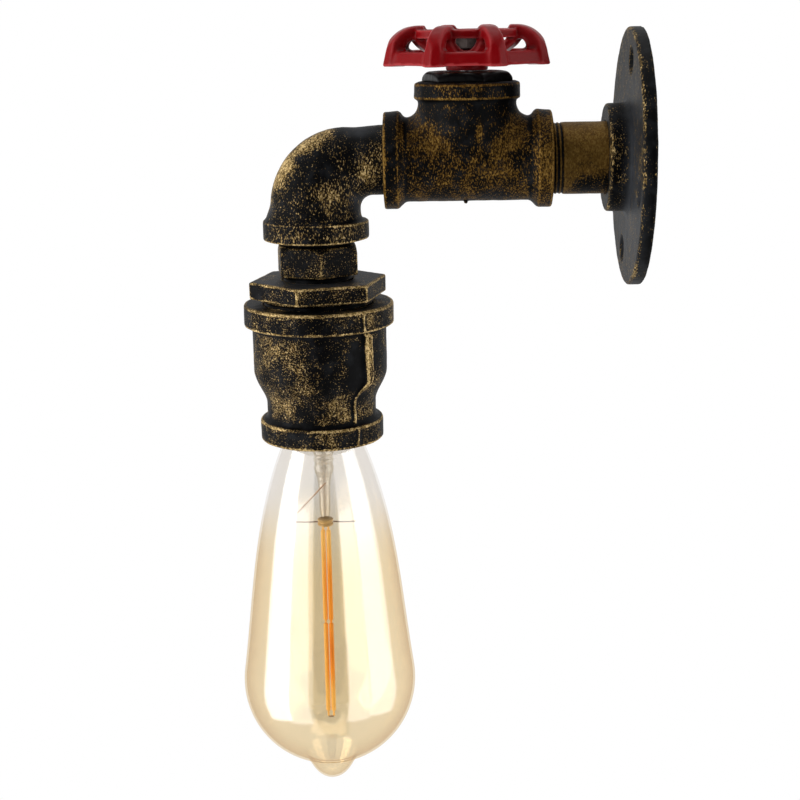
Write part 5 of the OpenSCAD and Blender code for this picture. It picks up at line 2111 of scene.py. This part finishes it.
@dataclass
class Inside:
    """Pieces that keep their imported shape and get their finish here."""

    # Nodes inside the wheel that get near-black steel as painted shade.
    painted_shade_nodes: tuple[str, ...] = ("wheel_nut", "wheel_washer")
    sleeve_rough: float = 0.5

    def finishes(self) -> dict[Slot, bpy.types.Material]:
        """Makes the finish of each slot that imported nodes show.

        Returns:
            A material for each slot.
        """
        made = {
            Slot.STEEL: Metal("zinc_steel", (0.42, 0.42, 0.43), (0.28, 0.28, 0.29)),
            Slot.BRASS: Metal("plain_brass", (0.70, 0.49, 0.19), (0.44, 0.29, 0.11)),
            Slot.SOLDER: Metal("solder_drop", (0.60, 0.60, 0.61), (0.40, 0.40, 0.42), rough=0.4),
            Slot.PORCELAIN: Moulded(
                "glazed_porcelain", (0.80, 0.78, 0.72), (0.70, 0.67, 0.60), 0.18, coat=0.6),
            Slot.PHENOLIC: Moulded(
                "brown_phenolic", (0.030, 0.020, 0.015), (0.055, 0.036, 0.026), 0.42),
            Slot.WHITE: Moulded("white_moulding", (0.76, 0.76, 0.73), (0.66, 0.66, 0.63), 0.45),
            Slot.BLACK_GLASS: Moulded(
                "black_glass_plug", (0.010, 0.010, 0.012), (0.02, 0.02, 0.024), 0.12, coat=0.8),
        }
        sleeves = {
            Slot.WIRE_BROWN: ("brown_insulation", (0.13, 0.05, 0.02), (0.18, 0.08, 0.035)),
            Slot.WIRE_RED: ("red_insulation", (0.36, 0.022, 0.02), (0.46, 0.05, 0.045)),
            Slot.WIRE_BLUE: ("blue_insulation", (0.025, 0.085, 0.33), (0.04, 0.13, 0.42)),
            Slot.WIRE_GREEN: ("green_insulation", (0.11, 0.27, 0.04), (0.3, 0.36, 0.05)),
        }
        made |= {slot: Moulded(*look, self.sleeve_rough) for slot, look in sleeves.items()}
        return {slot: finish.material() for slot, finish in made.items()}

    def build(self) -> None:
        """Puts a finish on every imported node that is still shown."""
        finishes = self.finishes()
        # Near-black steel for the nut and washer in the wheel: painted shade in place of their
        # plain steel.
        dark = Metal("steel_darkened_as_shade", (0.030, 0.024, 0.022), (0.014, 0.010, 0.009), 0.30).material()
        slots = {part["node"]: Slot(part["material_slot"]) for part in frame["record"]["subparts"]}
        for name, node in frame["nodes"].items():
            if node.hide_render:
                continue
            node.data.materials.clear()
            node.data.materials.append(dark if name in self.painted_shade_nodes else finishes[slots[name]])
            log.info("%s: packed shape with %s", name, slots[name].value)


def main() -> None:
    """Builds the studio and every sub-assembly in order."""
    logging.basicConfig(level=logging.INFO, format="%(name)s %(message)s")
    for part in (Studio(), WallEnd(), TeeGroup(), Handwheel(), DropGroup(), Bulb(), Inside()):
        part.build()
        log.info("%s is done", type(part).__name__)


if __name__ == "__main__":
    main()
